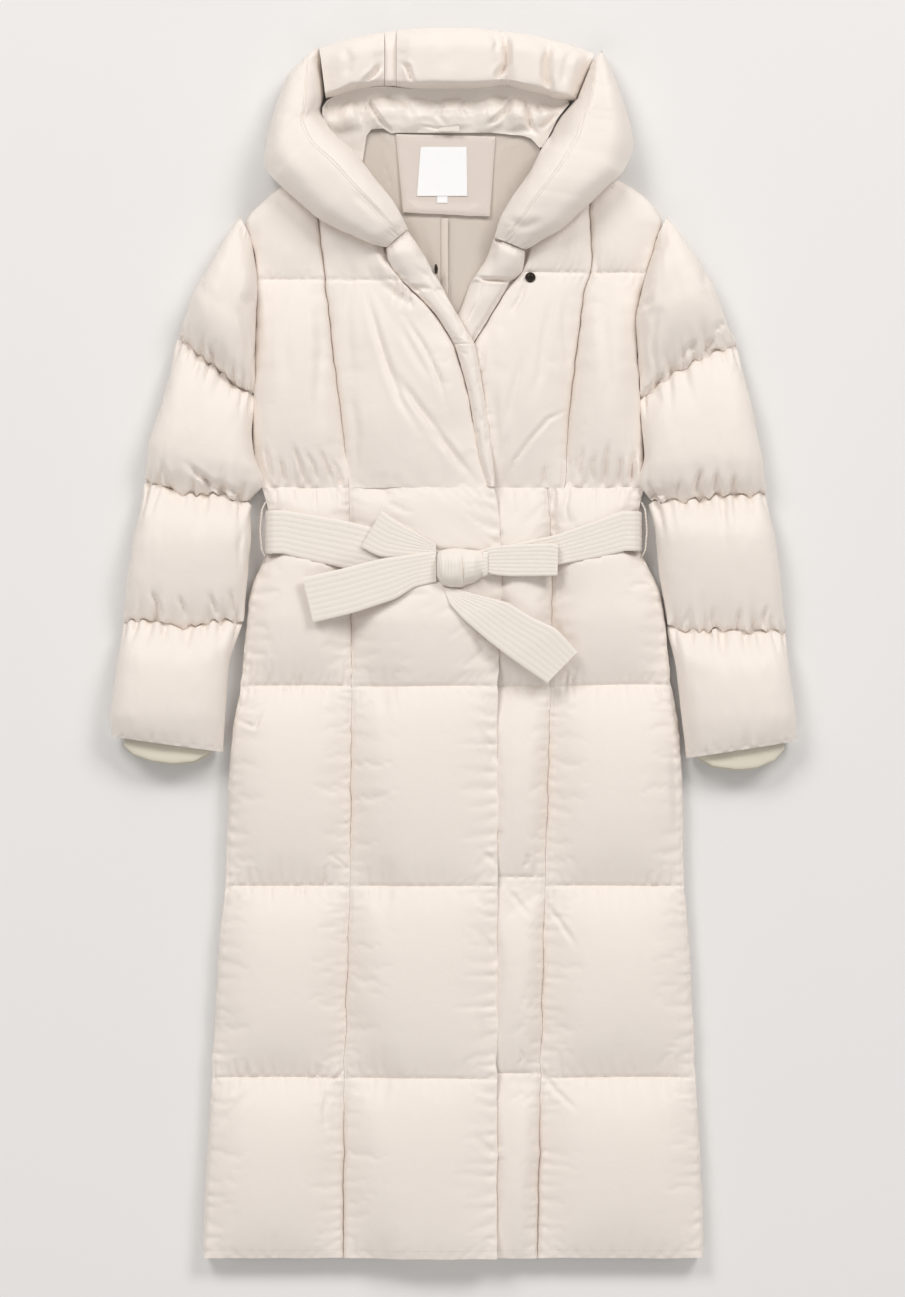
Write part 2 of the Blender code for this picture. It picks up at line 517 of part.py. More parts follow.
def build_chest_fronts():
    open_air = pressed_by_belt_and_hood
    side = quilted(CHEST_LEVELS, CHEST_WALLS, SIDE_CROWN, open_air, gathers=4, depth=3.0)
    right_rows = breaks(ARMHOLE_RIGHT, SHOULDER_RIGHT, PRINCESS_RIGHT, low=WAIST, high=1250,
                        more=(904, 1090, 1110, 1130, 1150, 1172, 1250))
    left_rows = breaks(ARMHOLE_LEFT, SHOULDER_LEFT, PRINCESS_LEFT, low=WAIST, high=1250,
                       more=(904, 932, 1015, YOKE, 1170, 1250))
    panel("right_chest_side", right_rows,
          [line(ARMHOLE_RIGHT, SHOULDER_RIGHT[1:]), line(PRINCESS_RIGHT, shift=-GAP)], [8],
          [UNDER, UNDER], side)
    panel("left_chest_side", left_rows,
          [line(PRINCESS_LEFT, shift=GAP), line(ARMHOLE_LEFT, SHOULDER_LEFT[1:])], [8],
          [UNDER, UNDER], side)
    lap = quilted(CHEST_LEVELS, CHEST_WALLS, LAP_CROWN - 2, open_air, gathers=2, depth=2.0,
                  folds=LAP_FOLDS)
    rows = breaks(PRINCESS_RIGHT, LAP_SEAM, LAP_RISE, low=WAIST, high=1272,
                  more=(903, 978, 1030, 1078, 1110, 1190))
    right_edge = line(PRINCESS_RIGHT[:-1], [(1256, -164)], SHOULDER_RIGHT[-1:])
    panel("right_chest_centre", rows,
          [right_edge, line(LAP_RISE, shift=-RISE_RUN * 0.9), line(LAP_RISE), line(LAP_SEAM)],
          [4, 1, 6], [UNDER, UNDER, LAP_UNDER, LAP_UNDER], lap)
    under = quilted(CHEST_LEVELS, CHEST_WALLS, SIDE_CROWN - 1, pressed_by_right_front,
                    gathers=2, depth=1.5, folds=UNDER_FOLDS)
    rows = breaks(PRINCESS_LEFT, UNDERLAP_SEAM, PRESS_LINE, low=WAIST, high=1266,
                  more=(903, 920, 950, 1090, YOKE))
    panel("left_chest_centre", rows,
          [line(UNDERLAP_SEAM), line(PRESS_LINE), line(PRINCESS_LEFT[:-1], [(1256, 158)],
                                                       [(1266, 142)])], [2, 6],
          [UNDER, UNDER, UNDER], under)


def build_facings():
    """The bands along both edges of the neck opening, and the hood's ends above them."""
    seam, edge = line(LAP_SEAM, shift=GAP), line(LAP_EDGE)
    stations = []
    for y in breaks(LAP_SEAM, LAP_EDGE, low=WAIST, high=1123.5, more=(1123.5,)):
        crown = float(np.interp(y, [894, 1005, 1095, 1123], [38, 43, 45, 41.5]))
        stations.append((seam(y), y, edge(y), y, LAP_UNDER, crown))
    roll("right_front_facing", stations, edge=4.0, across=4)
    edge, seam = line(UNDERLAP_EDGE), line(UNDERLAP_SEAM, shift=-GAP)
    stations = []
    for y in breaks(UNDERLAP_EDGE, UNDERLAP_SEAM, low=1005, high=1133, more=(1006, 1086)):
        crown = float(np.interp(y, [1086, 1111, 1133], [UNDERLAP_TOP, 35, 35]))
        stations.append((edge(y), y, seam(y), y, 20.9, crown))
    roll("left_front_facing", stations, edge=4.0, across=4)
    roll("right_collar_tab", TAB_RIGHT, edge=9.0, across=6)
    roll("left_collar_tab", TAB_LEFT, edge=9.0, across=6)


# ---- sleeves ----------------------------------------------------------------------------
SLEEVE_SIDES = 20
SLEEVE_FIELD = [0.0, 0.08, 0.2, 1 / 3, 0.5, 2 / 3, 5 / 6, 0.93]


def sleeve_station(table, t):
    columns = list(zip(*table))
    return [float(np.interp(t, columns[0], column)) for column in columns[1:]]


def rounded(angle):
    """Across and up, from -1 to 1, round a full flattened tube."""
    c, s = math.cos(angle), math.sin(angle)
    return math.copysign(abs(c) ** 0.75, c), math.copysign(abs(s) ** 0.75, s)


def tube_ring(table, t, width, low, high, along=0.0):
    """A section of a flattened tube inside the sleeve, the share width of it across."""
    ax, ay, bx, by, bow = sleeve_station(table, t)
    ring = []
    for k in range(SLEEVE_SIDES):
        c, s = rounded(2 * math.pi * (k + 0.5) / SLEEVE_SIDES)
        f = 0.5 + 0.5 * width * c
        sag = bow * math.sin(math.pi * f)
        ring.append((ax + (bx - ax) * f, ay + (by - ay) * f - sag - along,
                     (low + high) / 2 + (high - low) / 2 * s))
    return ring


def sleeve_ring(table, t, high, gather):
    """A section of the sleeve: a full rounded top, puckered by gather, and a flat underside."""
    belly = 0.36 * high
    ring = tube_ring(table, t, 1.0, 0.0, high)
    for k, (x, y, _) in enumerate(ring):
        up = rounded(2 * math.pi * (k + 0.5) / SLEEVE_SIDES)[1]
        if up >= 0:
            z = belly + (high - belly + gather * (1 if k % 2 else -1) * up) * up
        else:
            z = max(0.0, belly * (1.0 + 1.7 * up))
        ring[k] = (x, y, z)
    return ring


def build_sleeve(name, cuff_name, table, side):
    cut = [(t, ax, ay, bx + side * (GAP + 0.1), by, bow) for t, ax, ay, bx, by, bow in table]
    lines_at, lines_high = zip(*SLEEVE_LINES)
    outer = []
    for a, b in zip(SLEEVE_SEAMS, SLEEVE_SEAMS[1:]):
        for f in SLEEVE_FIELD if b < SLEEVE_SEAMS[-1] else SLEEVE_FIELD + [1.0]:
            t = a + (b - a) * f
            low = float(np.interp(t, lines_at, lines_high))
            full = SLEEVE_CROWN + SLEEVE_SWAY * math.sin(1.3 * t)
            near = math.exp(-min(abs(t - line_at) for line_at in SLEEVE_SEAMS[1:4]) / 0.35)
            outer.append(sleeve_ring(cut, t, low + (full - low) * pillow(f, 2.6), 3.0 * near))
    inner = [tube_ring(cut, *row) for row in SLEEVE_HOLLOW]
    loft(name, outer + inner)
    hem, share, low, high = SLEEVE_HOLLOW[0]
    across = abs(cut[-1][3] - cut[-1][1])
    rings = []
    for along, inside in CUFF:
        width = share - 2 * inside / across
        rings.append(tube_ring(cut, hem, width, low + inside, high - inside, along))
    loft(cuff_name, rings, CUFF_KNIT, joined=True)


# ---- hood -------------------------------------------------------------------------------
def build_hood():
    roll("hood_rim_right", LOBE_RIGHT, edge=16.0, across=9)
    roll("hood_rim_left", LOBE_LEFT, edge=16.0, across=9)
    roll("hood_crown_right", CROWN_RIGHT, edge=16.0, across=8)
    roll("hood_crown_strip", CROWN_STRIP, edge=16.0, across=8)
    roll("hood_crown_left", CROWN_LEFT, edge=16.0, across=8)
    slab("hood_back", HOOD_BACK, 0.0, 10.0, SHELL)
    slab("hood_lining_corner", LINING_CORNER, BACK_THICK + LINING_THICK + 2 * GAP,
         LINING_THICK, SATIN)
    rings = []
    for x, seam_y, rim_y, crest in HOOD_LINING:
        face, steps = [], 5
        for k in range(steps + 1):
            f = k / steps
            base = 22.7 + (15.0 - 22.7) * f
            face.append((seam_y + (rim_y - seam_y) * f, base + (crest - 18.0) * pillow(f, 2.0)))
        back = []
        for k, (y, z) in enumerate(face):
            (ay, az), (by, bz) = face[max(k - 1, 0)], face[min(k + 1, steps)]
            run, rise = by - ay, bz - az
            lean = 0.0 if k in (0, steps) else LINING_THICK * rise / math.hypot(run, rise)
            deep = LINING_THICK if k in (0, steps) else LINING_THICK * run / math.hypot(run, rise)
            back.append((y + lean, z - deep))
        rings.append([(x, y, z) for y, z in face + back[::-1]])
    loft("hood_lining", rings, SATIN)


# ---- neck -------------------------------------------------------------------------------
def build_neck():
    base = BACK_THICK + GAP
    outline = [(left, y) for y, left, _ in BACK_LINING]
    outline += [(right, y) for y, _, right in reversed(BACK_LINING)]
    slab("back_lining", outline, base, LINING_THICK, TAUPE)
    on_lining = base + LINING_THICK + GAP
    slab("lining_pleat", PLEAT, on_lining, 1.4, TAUPE)
    slab("label_patch", PATCH, on_lining, PATCH_THICK - 0.6, SHELL, puff=0.6)
    on_patch = on_lining + PATCH_THICK + GAP
    slab("neck_label", LABEL, on_patch, LABEL_THICK, LABEL_WHITE)
    slab("size_tag", SIZE_TAG, on_patch, LABEL_THICK, LABEL_WHITE)
    disc("snap_left", SNAP_LEFT)
    disc("snap_right", SNAP_RIGHT, turn=SNAP_TURN)


# ---- belt -------------------------------------------------------------------------------
def build_belt():
    belt_piece("belt_run_right", RUN_RIGHT, turn=RUN_TURN)
    belt_piece("belt_run_left", RUN_LEFT, turn=RUN_TURN)
    slab("belt_back", [(-219, 816), (-219, 872), (219, 872), (219, 816)], 0.0, 3.8, BELT_CLOTH)
    belt_piece("belt_tail_right", TAIL_RIGHT)
    belt_piece("belt_end_right", END_RIGHT)
    belt_piece("belt_bow_left", BOW_LEFT, thick=6.5)
    belt_piece("belt_tail_left", TAIL_LEFT)
    roll("belt_knot", KNOT, edge=5.0, across=8, spec=BELT_CLOTH)
    for side, name in ((-1, "belt_loop_right"), (1, "belt_loop_left")):
        rings = []
        for x, y in LOOP:
            angles = [2 * math.pi * k / 8 for k in range(8)]
            rings.append([(side * (x + LOOP_RADIUS * math.cos(a)), y,
                           LOOP_HIGH + 1.6 * LOOP_RADIUS * math.sin(a)) for a in angles])
        loft(name, rings, BELT_CLOTH)


clear_scene()
build_back()
build_skirt_fronts()
build_chest_fronts()
build_facings()
build_sleeve("sleeve_right", "inner_cuff_right", SLEEVE_RIGHT, -1)
build_sleeve("sleeve_left", "inner_cuff_left", SLEEVE_LEFT, 1)
build_hood()
build_neck()
build_belt()
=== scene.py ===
import math

import bmesh
import bpy
import numpy as np
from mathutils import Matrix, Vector, noise
from mathutils.bvhtree import BVHTree


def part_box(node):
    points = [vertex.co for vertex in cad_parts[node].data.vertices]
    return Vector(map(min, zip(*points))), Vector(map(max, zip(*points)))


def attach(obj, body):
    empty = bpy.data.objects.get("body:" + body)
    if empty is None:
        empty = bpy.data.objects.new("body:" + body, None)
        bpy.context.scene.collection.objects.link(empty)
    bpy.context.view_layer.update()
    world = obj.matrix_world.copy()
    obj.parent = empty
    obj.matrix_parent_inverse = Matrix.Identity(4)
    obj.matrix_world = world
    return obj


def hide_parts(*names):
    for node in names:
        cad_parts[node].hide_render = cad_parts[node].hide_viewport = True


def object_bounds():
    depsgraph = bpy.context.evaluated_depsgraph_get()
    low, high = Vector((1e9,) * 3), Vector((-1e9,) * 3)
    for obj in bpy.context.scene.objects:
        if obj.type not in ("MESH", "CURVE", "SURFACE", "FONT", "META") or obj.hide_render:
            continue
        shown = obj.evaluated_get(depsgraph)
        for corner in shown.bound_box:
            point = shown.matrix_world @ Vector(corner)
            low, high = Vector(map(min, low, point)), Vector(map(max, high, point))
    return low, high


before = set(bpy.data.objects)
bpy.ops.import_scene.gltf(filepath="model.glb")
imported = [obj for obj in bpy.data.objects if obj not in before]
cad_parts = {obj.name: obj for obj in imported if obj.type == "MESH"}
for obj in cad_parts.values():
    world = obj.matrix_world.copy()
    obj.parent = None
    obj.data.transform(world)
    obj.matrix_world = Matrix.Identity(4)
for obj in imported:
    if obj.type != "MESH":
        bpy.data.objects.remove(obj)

bpy.ops.object.select_all(action="DESELECT")
MM = 0.001

# ---- The view --------------------------------------------------------------------------------
# The coat lies on its back, hood at the top of the frame, and is seen from straight above
# through a long lens, so that its outline hardly spreads with height.
cad_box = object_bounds()
view_high = 5.0
view_tall = 1.5045             # the frame's height, measured where the outline lies
view_middle = (-1.2 * MM, -7 * MM)
outline_high = 25 * MM
lens_long = bpy.data.cameras.new("long_lens")
lens_long.lens = lens_long.sensor_width * (view_high - outline_high) / view_tall
camera = bpy.data.objects.new("camera_overhead", lens_long)
camera.location = (*view_middle, view_high)
bpy.context.scene.collection.objects.link(camera)
bpy.context.scene.camera = camera
bpy.context.scene.view_settings.view_transform = "Standard"


# ---- Shell cloth -----------------------------------------------------------------------------
# A light, down-proof nylon in a warm off-white: a fine plain weave with a dull sheen, never
# pressed quite smooth, cut for every padded piece and for the belt.
class Dye:
    """A value in a cloth's material, so that sums and products of values read as plain maths."""

    def __init__(self, material, socket=None):
        self.material, self.socket = material, socket

    def node(self, kind, settings=None, sockets=None, out=0):
        """Adds any node, sets it up, fills or links its sockets and gives back an output."""
        made = self.material.node_tree.nodes.new(kind)
        for name, value in (settings or {}).items():
            setattr(made, name, value)
        for name, value in (sockets or {}).items():
            if isinstance(value, Dye):
                self.material.node_tree.links.new(value.socket, made.inputs[name])
            else:
                made.inputs[name].default_value = value
        return Dye(self.material, made.outputs[out])

    def maths(self, operation, other):
        """Adds a Math node that works on this value and another one or a number."""
        return self.node("ShaderNodeMath", {"operation": operation}, {0: self, 1: other})

    def __add__(self, other):
        return self.maths("ADD", other)

    def __mul__(self, other):
        return self.maths("MULTIPLY", other)

    __radd__, __rmul__ = __add__, __mul__


def cloth(name, light, dark, rough, sheen, thread, weave_deep, crumple):
    """A woven cloth: two close tones, a plain weave of this thread, and soft crumples.

    crumple is the crumples' size and depth.
    """
    material = bpy.data.materials.new(name)
    material.use_nodes = True
    shader = material.node_tree.nodes["Principled BSDF"]
    shader.inputs["Sheen Weight"].default_value = sheen
    shader.inputs["Sheen Roughness"].default_value = 0.5
    dye = Dye(material)
    place = dye.node("ShaderNodeTexCoord", out=3)    # Object coordinates
    patch = dye.node("ShaderNodeTexNoise", None,
                     {"Vector": place, "Scale": 7.0, "Detail": 3.0, "Roughness": 0.6})
    grain = dye.node("ShaderNodeTexNoise", None, {"Vector": place, "Scale": 900.0})
    tone = dye.node("ShaderNodeMix", {"data_type": "RGBA"},
                    {0: patch * 0.7 + grain * 0.3, 6: (*dark, 1.0), 7: (*light, 1.0)}, out=2)
    fold_size, fold_deep = crumple
    fold = dye.node("ShaderNodeTexNoise", None,
                    {"Vector": place, "Scale": 1 / fold_size, "Detail": 4.0,
                     "Roughness": 0.55, "Distortion": 0.4})
    weave = None
    for axis in ("X", "Y"):
        rib = dye.node("ShaderNodeTexWave", {"bands_direction": axis},
                       {"Vector": place, "Scale": math.pi / 10 / thread})
        weave = rib if weave is None else weave * rib
    bumped = dye.node("ShaderNodeBump", None,
                      {"Height": fold, "Strength": 1.0, "Distance": fold_deep})
    woven = dye.node("ShaderNodeBump", None,
                     {"Height": weave, "Strength": 0.5, "Distance": weave_deep,
                      "Normal": bumped})
    links = material.node_tree.links
    links.new(tone.socket, shader.inputs["Base Color"])
    links.new((patch * 0.12 + (rough - 0.06)).socket, shader.inputs["Roughness"])
    links.new(woven.socket, shader.inputs["Normal"])
    return material


shell_cloth = cloth("shell_nylon", (0.875, 0.80, 0.738), (0.847, 0.772, 0.71), 0.52, 0.15,
                    0.35 * MM, 0.02 * MM, (14 * MM, 0.4 * MM))

# ---- Skirt fronts ----------------------------------------------------------------------------
# Four padded panels below the waist, quilted across in four fields. Each is a shell cut fuller
# than its place, gathered along every stitched line and filled, so that it swells between
# the lines and puckers beside them. The right front laps over the left.
HEM, WAIST = cad_box[0].y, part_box("right_skirt_side")[1].y
frame_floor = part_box("right_skirt_side")[0].z
quilt_lines = [HEM, HEM + 209 * MM, HEM + 432 * MM, HEM + 664 * MM, WAIST]
seam_deep = 7.0 * MM           # how far the seams between panels lie under the puffs
clear = 0.3 * MM               # what the pieces leave between them


def search_tree(*nodes):
    """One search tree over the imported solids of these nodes."""
    points, faces = [], []
    for node in nodes:
        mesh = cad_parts[node].data
        start = len(points)
        points += [tuple(v.co) for v in mesh.vertices]
        faces += [tuple(start + i for i in face.vertices) for face in mesh.polygons]
    return BVHTree.FromPolygons(points, faces)


def side_edges(node, rows):
    """Where rows cross a panel's left and right edge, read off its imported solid."""
    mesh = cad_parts[node].data
    points = np.array([v.co for v in mesh.vertices])
    ends = np.array([edge.vertices[:] for edge in mesh.edges])
    a, b = points[ends[:, 0]], points[ends[:, 1]]
    low, high = points[:, 1].min() + 1e-5, points[:, 1].max() - 1e-5
    found = []
    for y in np.clip(rows, low, high):
        met = (np.minimum(a[:, 1], b[:, 1]) <= y) & (np.maximum(a[:, 1], b[:, 1]) > y)
        share = (y - a[met, 1]) / (b[met, 1] - a[met, 1])
        x = a[met, 0] + (b[met, 0] - a[met, 0]) * share
        found.append((x.min(), x.max()))
    return np.array(found).T


def eased(values, reach):
    """A row of values with its corners rounded over a few steps; the ends stay."""
    steps = min(int(3 * reach) + 1, len(values) - 1)
    kernel = np.exp(-0.5 * (np.arange(-steps, steps + 1) / reach) ** 2)
    before = 2 * values[0] - values[1:steps + 1][::-1]
    after = 2 * values[-1] - values[-steps - 1:-1][::-1]
    long = np.concatenate([before, values, after])
    return np.convolve(long, kernel / kernel.sum(), "same")[steps:-steps]


def ripple(x, y, seed=0.0):
    """Smooth noise from about -1 to 1, the same at each run."""
    return noise.noise(Vector((x, y, seed)))


def gathered(points, rows, columns, tops, seed=0.0, sharp=1.0):
    """Draws gathers into a grid beside its stitched rows and columns.

    Each is its number and the gathers' depth, spacing and length in mm.
    """
    wide = points.shape[1]
    steps = np.linalg.norm(np.diff(points.mean(1), axis=0), axis=1).cumsum()
    along = np.concatenate([[0], steps]) / MM
    steps = np.linalg.norm(np.diff(points, axis=1), axis=2).mean(0).cumsum()
    across = np.concatenate([[0], steps]) / MM
    lines = [(False, k, *row) for k, row in rows if row[0]]
    lines += [(True, k, *row) for k, row in columns if row[0] and k < wide]
    height = np.zeros(points.shape[:2])
    for upright, k, deep, apart, long in lines:
        away, run = (across, along) if upright else (along, across)
        for m, d in enumerate(away - away[k]):
            if m == k or abs(d) > 3.5 * long:
                continue
            key = seed + 3.7 * (d > 0) + k
            rise = 1 - math.exp(-abs(d) / 1.5)
            for n, s in enumerate(run):
                s += 0.25 * d * ripple(s / 40, 30, key)
                turn = 2 * math.pi * s / apart + 3.5 * ripple(s / (2.2 * apart), 0, key)
                size = 0.55 + 1.1 * ripple(s / (1.7 * apart), 10, key)
                reach = long * (0.8 + 0.9 * ripple(s / (1.3 * apart), 20, key))
                crest = 2 * abs(math.cos(turn / 2)) ** sharp - 1.27    # near level on average
                wave = deep * size * crest * rise * math.exp(-(abs(d) / reach) ** 1.4)
                height[(n, m) if upright else (m, n)] += wave
    normal = np.cross(np.gradient(points, axis=1), np.gradient(points, axis=0))
    normal /= np.maximum(np.linalg.norm(normal, axis=2, keepdims=True), 1e-12)
    if normal[:, :tops, 2].mean() < 0:
        normal = -normal
    for upright, k, *_ in lines:
        height[(slice(None), k) if upright else k] = 0.0
    on_table = points[:, :, 2] < 3 * MM
    height[on_table] = np.maximum(height[on_table], 0.0)
    points += normal * height[:, :, None] * MM
    return points


class Quilt:
    """One padded piece while it is made: its outer cloth as a grid of points, its stitching."""

    def __init__(self, points, line_rows, line_columns, closed=False):
        self.points, self.closed = points, closed
        self.line_rows, self.line_columns = line_rows, line_columns
        self.stitched = np.zeros(points.shape[:2], bool)
        self.stitched[line_rows] = True
        self.stitched[:, [k for k in line_columns if k < points.shape[1]]] = True
        self.ceiling = None            # what lies on it
        self.tops = points.shape[1]    # the columns of its upper face
        self.full = 0.004              # how much fuller than its place it is cut
        self.spread = 1.5 * MM         # how far the cloth may move sideways
        self.sink = 1.2 * MM           # how far the stitching draws its lines down

    def smooth_heights(self, passes):
        """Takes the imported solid's facets out of the cloth between the stitched lines."""
        z = self.points[:, :, 2]
        free = ~self.stitched
        for _ in range(passes):
            left, right = np.roll(z, 1, 1), np.roll(z, -1, 1)
            if not self.closed:
                left[:, 0], right[:, -1] = z[:, 0], z[:, -1]
            up, down = np.vstack([z[:1], z[:-1]]), np.vstack([z[1:], z[-1:]])
            z[free] += 0.6 * ((left + right + up + down) / 4 - z)[free]

    @property
    def fine_tops(self):
        """The columns of its upper face at half the mesh size."""
        return 2 * self.tops - 1

    def gather(self, at_rows, at_columns, seed):
        """Starts the gathers beside each stitched line: depth, spacing and length, in mm."""
        gathered(self.points, zip(self.line_rows, at_rows), zip(self.line_columns, at_columns),
                 self.tops, seed)

    def put_under(self, nodes, cell):
        """Finds what lies on the cloth, and presses the cloth down under it."""
        above = search_tree(*nodes)
        open_air, slope, lid = 1.0, 0.9 * cell, 0.2
        ceiling = np.full(self.stitched.shape, open_air)
        for j, i in np.ndindex(ceiling.shape):
            x, y, _ = self.points[j, i]
            hit = above.ray_cast(Vector((x, y, 0)), Vector((0, 0, 1)))[0]
            if hit:
                ceiling[j, i] = hit.z - clear
        for _ in range(12):
            for axis in (0, 1):
                for step in (1, -1):
                    moved = np.roll(ceiling, step, axis)
                    edge = [slice(None)] * 2
                    edge[axis] = 0 if step == 1 else -1
                    moved[tuple(edge)] = open_air
                    ceiling = np.minimum(ceiling, moved + slope)
        for _ in range(3):
            near = np.pad(np.minimum(ceiling, lid), 1, mode="edge")
            mean = (near[:-2, 1:-1] + near[2:, 1:-1] + near[1:-1, :-2] + near[1:-1, 2:]) / 4
            ceiling = np.minimum(ceiling, mean)
        self.ceiling = ceiling
        self.press()

    def press(self):
        """Keeps the cloth softly under what lies on it."""
        if self.ceiling is not None:
            soft = 1.0 * MM
            over = (self.points[:, :, 2] - self.ceiling) / soft
            self.points[:, :, 2] -= soft * np.log1p(np.exp(np.clip(over, -30, 30)))

    def crumple(self, deep, size_x, size_y, seed):
        """The small unevenness from which gathers grow."""
        for j, i in zip(*np.nonzero(~self.stitched)):
            x, y, _ = self.points[j, i]
            self.points[j, i, 2] += deep * ripple(x / size_x, y / size_y, seed)


def height_on(tree, x, y, middle, side):
    """The solid's height at a point, from above (1) or from below (-1).

    A point that misses the solid is tried again a share of the way to its middle.
    """
    for inside in (0.002, 0.01, 0.03, 0.08, 0.2):
        probe = (x + (middle[0] - x) * inside, y + (middle[1] - y) * inside)
        hit = tree.ray_cast(Vector((*probe, side)), Vector((0, 0, -side)))[0]
        if hit:
            return hit.z
    return tree.find_nearest(Vector((x, y, 0.03)))[0].z


def seam_waver(along):
    """How far a seam runs off its line, the same for both pieces that meet in it."""
    return (1.6 * ripple(28 * along, 1, 5) + 1.1 * ripple(75 * along, 2, 6)) * MM


def sunk_seams(points, depths, seed):
    """Draws a panel's sewn edges, its first or last column, down between the puffs."""
    lowest = frame_floor + 1.5 * MM
    for column, deep in depths.items():
        beside = 1 if column == 0 else column - 1
        for j in range(len(points)):
            pull = deep * (0.75 + 0.6 * ripple(55 * points[j, column, 1], column, seed))
            points[j, column, 2] = max(lowest, points[j, column, 2] - pull)
            points[j, beside, 2] -= 0.25 * pull
    return points


def panel(node, lines, cell, seed=0.0):
    """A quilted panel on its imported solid, in rows across, between stitched lines."""
    tree = search_tree(node)

    def waver(x, n):
        """How far line n runs off its place; at the waist and the hem panels agree."""
        if lines[n] == WAIST:
            return seam_waver(x)
        if lines[n] == HEM:
            return 1.54 * MM * ripple(19 * x, 2, 3)
        return 2.2 * MM * ripple(7 * x, 31 * n, seed)

    rows, line_rows = [], [0]
    for a, b in zip(lines, lines[1:]):
        count = max(2, round((b - a) / cell))
        rows += list(np.linspace(a, b, count, endpoint=False))
        line_rows.append(len(rows))
    rows = np.array(rows + [lines[-1]])
    left, right = side_edges(node, rows)
    left, right = eased(left, 2.2), eased(right, 2.2)
    columns = max(3, round((right - left).mean() / cell))
    grid = np.zeros((len(rows), columns + 1, 3))
    for j, y in enumerate(rows):
        k = max(i for i, row in enumerate(line_rows[:-1]) if row <= j)
        share = (j - line_rows[k]) / (line_rows[k + 1] - line_rows[k])
        middle = ((left[j] + right[j]) / 2, min(max(y, lines[0] + 2 * MM), lines[-1] - 2 * MM))
        for i in range(columns + 1):
            x = left[j] + (right[j] - left[j]) * i / columns
            z = height_on(tree, x, min(max(y, lines[0] + 1e-5), lines[-1] - 1e-5), middle, 1)
            grid[j, i] = (x + seam_waver(y),
                          y + waver(x, k) * (1 - share) + waver(x, k + 1) * share, z)
    for row in line_rows:
        grid[row, :, 2] = eased(grid[row, :, 2], 3.0)
    quilt = Quilt(grid, line_rows, [0, columns])
    quilt.smooth_heights(14)
    return quilt


def grid_faces(rows, columns, around=False):
    """The faces over a grid of points; around joins its last column to its first."""
    return [(j * columns + i, j * columns + (i + 1) % columns,
             (j + 1) * columns + (i + 1) % columns, (j + 1) * columns + i)
            for j in range(rows - 1) for i in range(columns if around else columns - 1)]


def fill(quilts, pressure=12.0, rise=14 * MM):
    """Blows the filling into the pieces: Cloth with pressure, its stitched points pinned."""
    frames = 20
    for quilt in quilts:
        quilt.start = quilt.points.copy()
    scene = bpy.context.scene
    shells = []
    for quilt in quilts:
        rows, columns, _ = quilt.points.shape
        faces = grid_faces(rows, columns, quilt.closed)
        a, b, c = quilt.points[0, 0], quilt.points[0, columns // 3], quilt.points[-1, 0]
        if np.cross(b - a, c - a)[2] < 0:
            faces = [face[::-1] for face in faces]
        mesh = bpy.data.meshes.new("shell_cut")
        mesh.from_pydata(quilt.points.reshape(-1, 3).tolist(), [], faces)
        shell = bpy.data.objects.new("shell_cut", mesh)
        scene.collection.objects.link(shell)
        pins = shell.vertex_groups.new(name="stitched")
        pins.add(np.flatnonzero(quilt.stitched.ravel()).tolist(), 1.0, "REPLACE")
        sewn = shell.modifiers.new("filling", "CLOTH")
        set_up = sewn.settings
        set_up.quality = 5
        set_up.vertex_group_mass = "stitched"
        set_up.shrink_min = set_up.shrink_max = -quilt.full
        set_up.use_pressure = True
        set_up.uniform_pressure_force = pressure
        set_up.effector_weights.gravity = 0.0
        set_up.tension_stiffness = set_up.compression_stiffness = 15.0
        set_up.bending_stiffness = 1.5
        sewn.collision_settings.use_collision = False
        sewn.point_cache.frame_start, sewn.point_cache.frame_end = 1, frames
        shells.append(shell)
    for moment in range(1, frames + 1):
        scene.frame_set(moment)
    graph = bpy.context.evaluated_depsgraph_get()
    for quilt, shell in zip(quilts, shells):
        flat = np.empty(quilt.points.size, np.float32)
        shell.evaluated_get(graph).data.vertices.foreach_get("co", flat)
        moved = flat.reshape(quilt.points.shape) - quilt.start
        aside = np.linalg.norm(moved[:, :, :2], axis=2, keepdims=True)
        moved[:, :, :2] *= np.minimum(1.0, quilt.spread / np.maximum(aside, 1e-9))
        moved[:, :, 2] = rise * np.tanh(moved[:, :, 2] / rise)
        quilt.points = quilt.start + moved
        quilt.points[quilt.stitched] = quilt.start[quilt.stitched]
        inner = quilt.line_rows[1:-1]
        quilt.points[inner, :quilt.tops, 2] -= quilt.sink
        quilt.press()
    for shell in shells:
        mesh = shell.data
        bpy.data.objects.remove(shell, do_unlink=True)
        bpy.data.meshes.remove(mesh)
    scene.frame_set(1)


def crisp(quilt, points, deep, apart, seed, rows=2):
    """Adds fine sharp puckers beside the lines, after the filling."""
    fine = ((rows * k, (deep, apart, 11)) for k in quilt.line_rows)
    return gathered(points, fine, (), quilt.fine_tops, seed, 0.6)


def halved(points, breaks):
    """Twice the rows, smooth inside each field and creased at the breaks."""
    parts = []
    for a, b in zip(breaks, breaks[1:]):
        p = points[a:b + 1]
        long = np.concatenate([[2 * p[0] - p[1]], p, [2 * p[-1] - p[-2]]])
        between = (9 * (long[1:-2] + long[2:-1]) - long[:-3] - long[3:]) / 16
        parts.append(np.stack([p[:-1], between], axis=1).reshape(-1, *p.shape[1:]))
    return np.concatenate(parts + [points[-1:]])


def refined(quilt, rows=True):
    """The filled cloth at half the mesh size, across and, with rows, along."""
    points = quilt.points
    if quilt.closed:
        points = np.concatenate([points, points[:, :1]], axis=1)
    if rows:
        points = halved(points, quilt.line_rows)
    points = halved(points.swapaxes(0, 1), quilt.line_columns).swapaxes(0, 1)
    return points[:, :-1] if quilt.closed else points


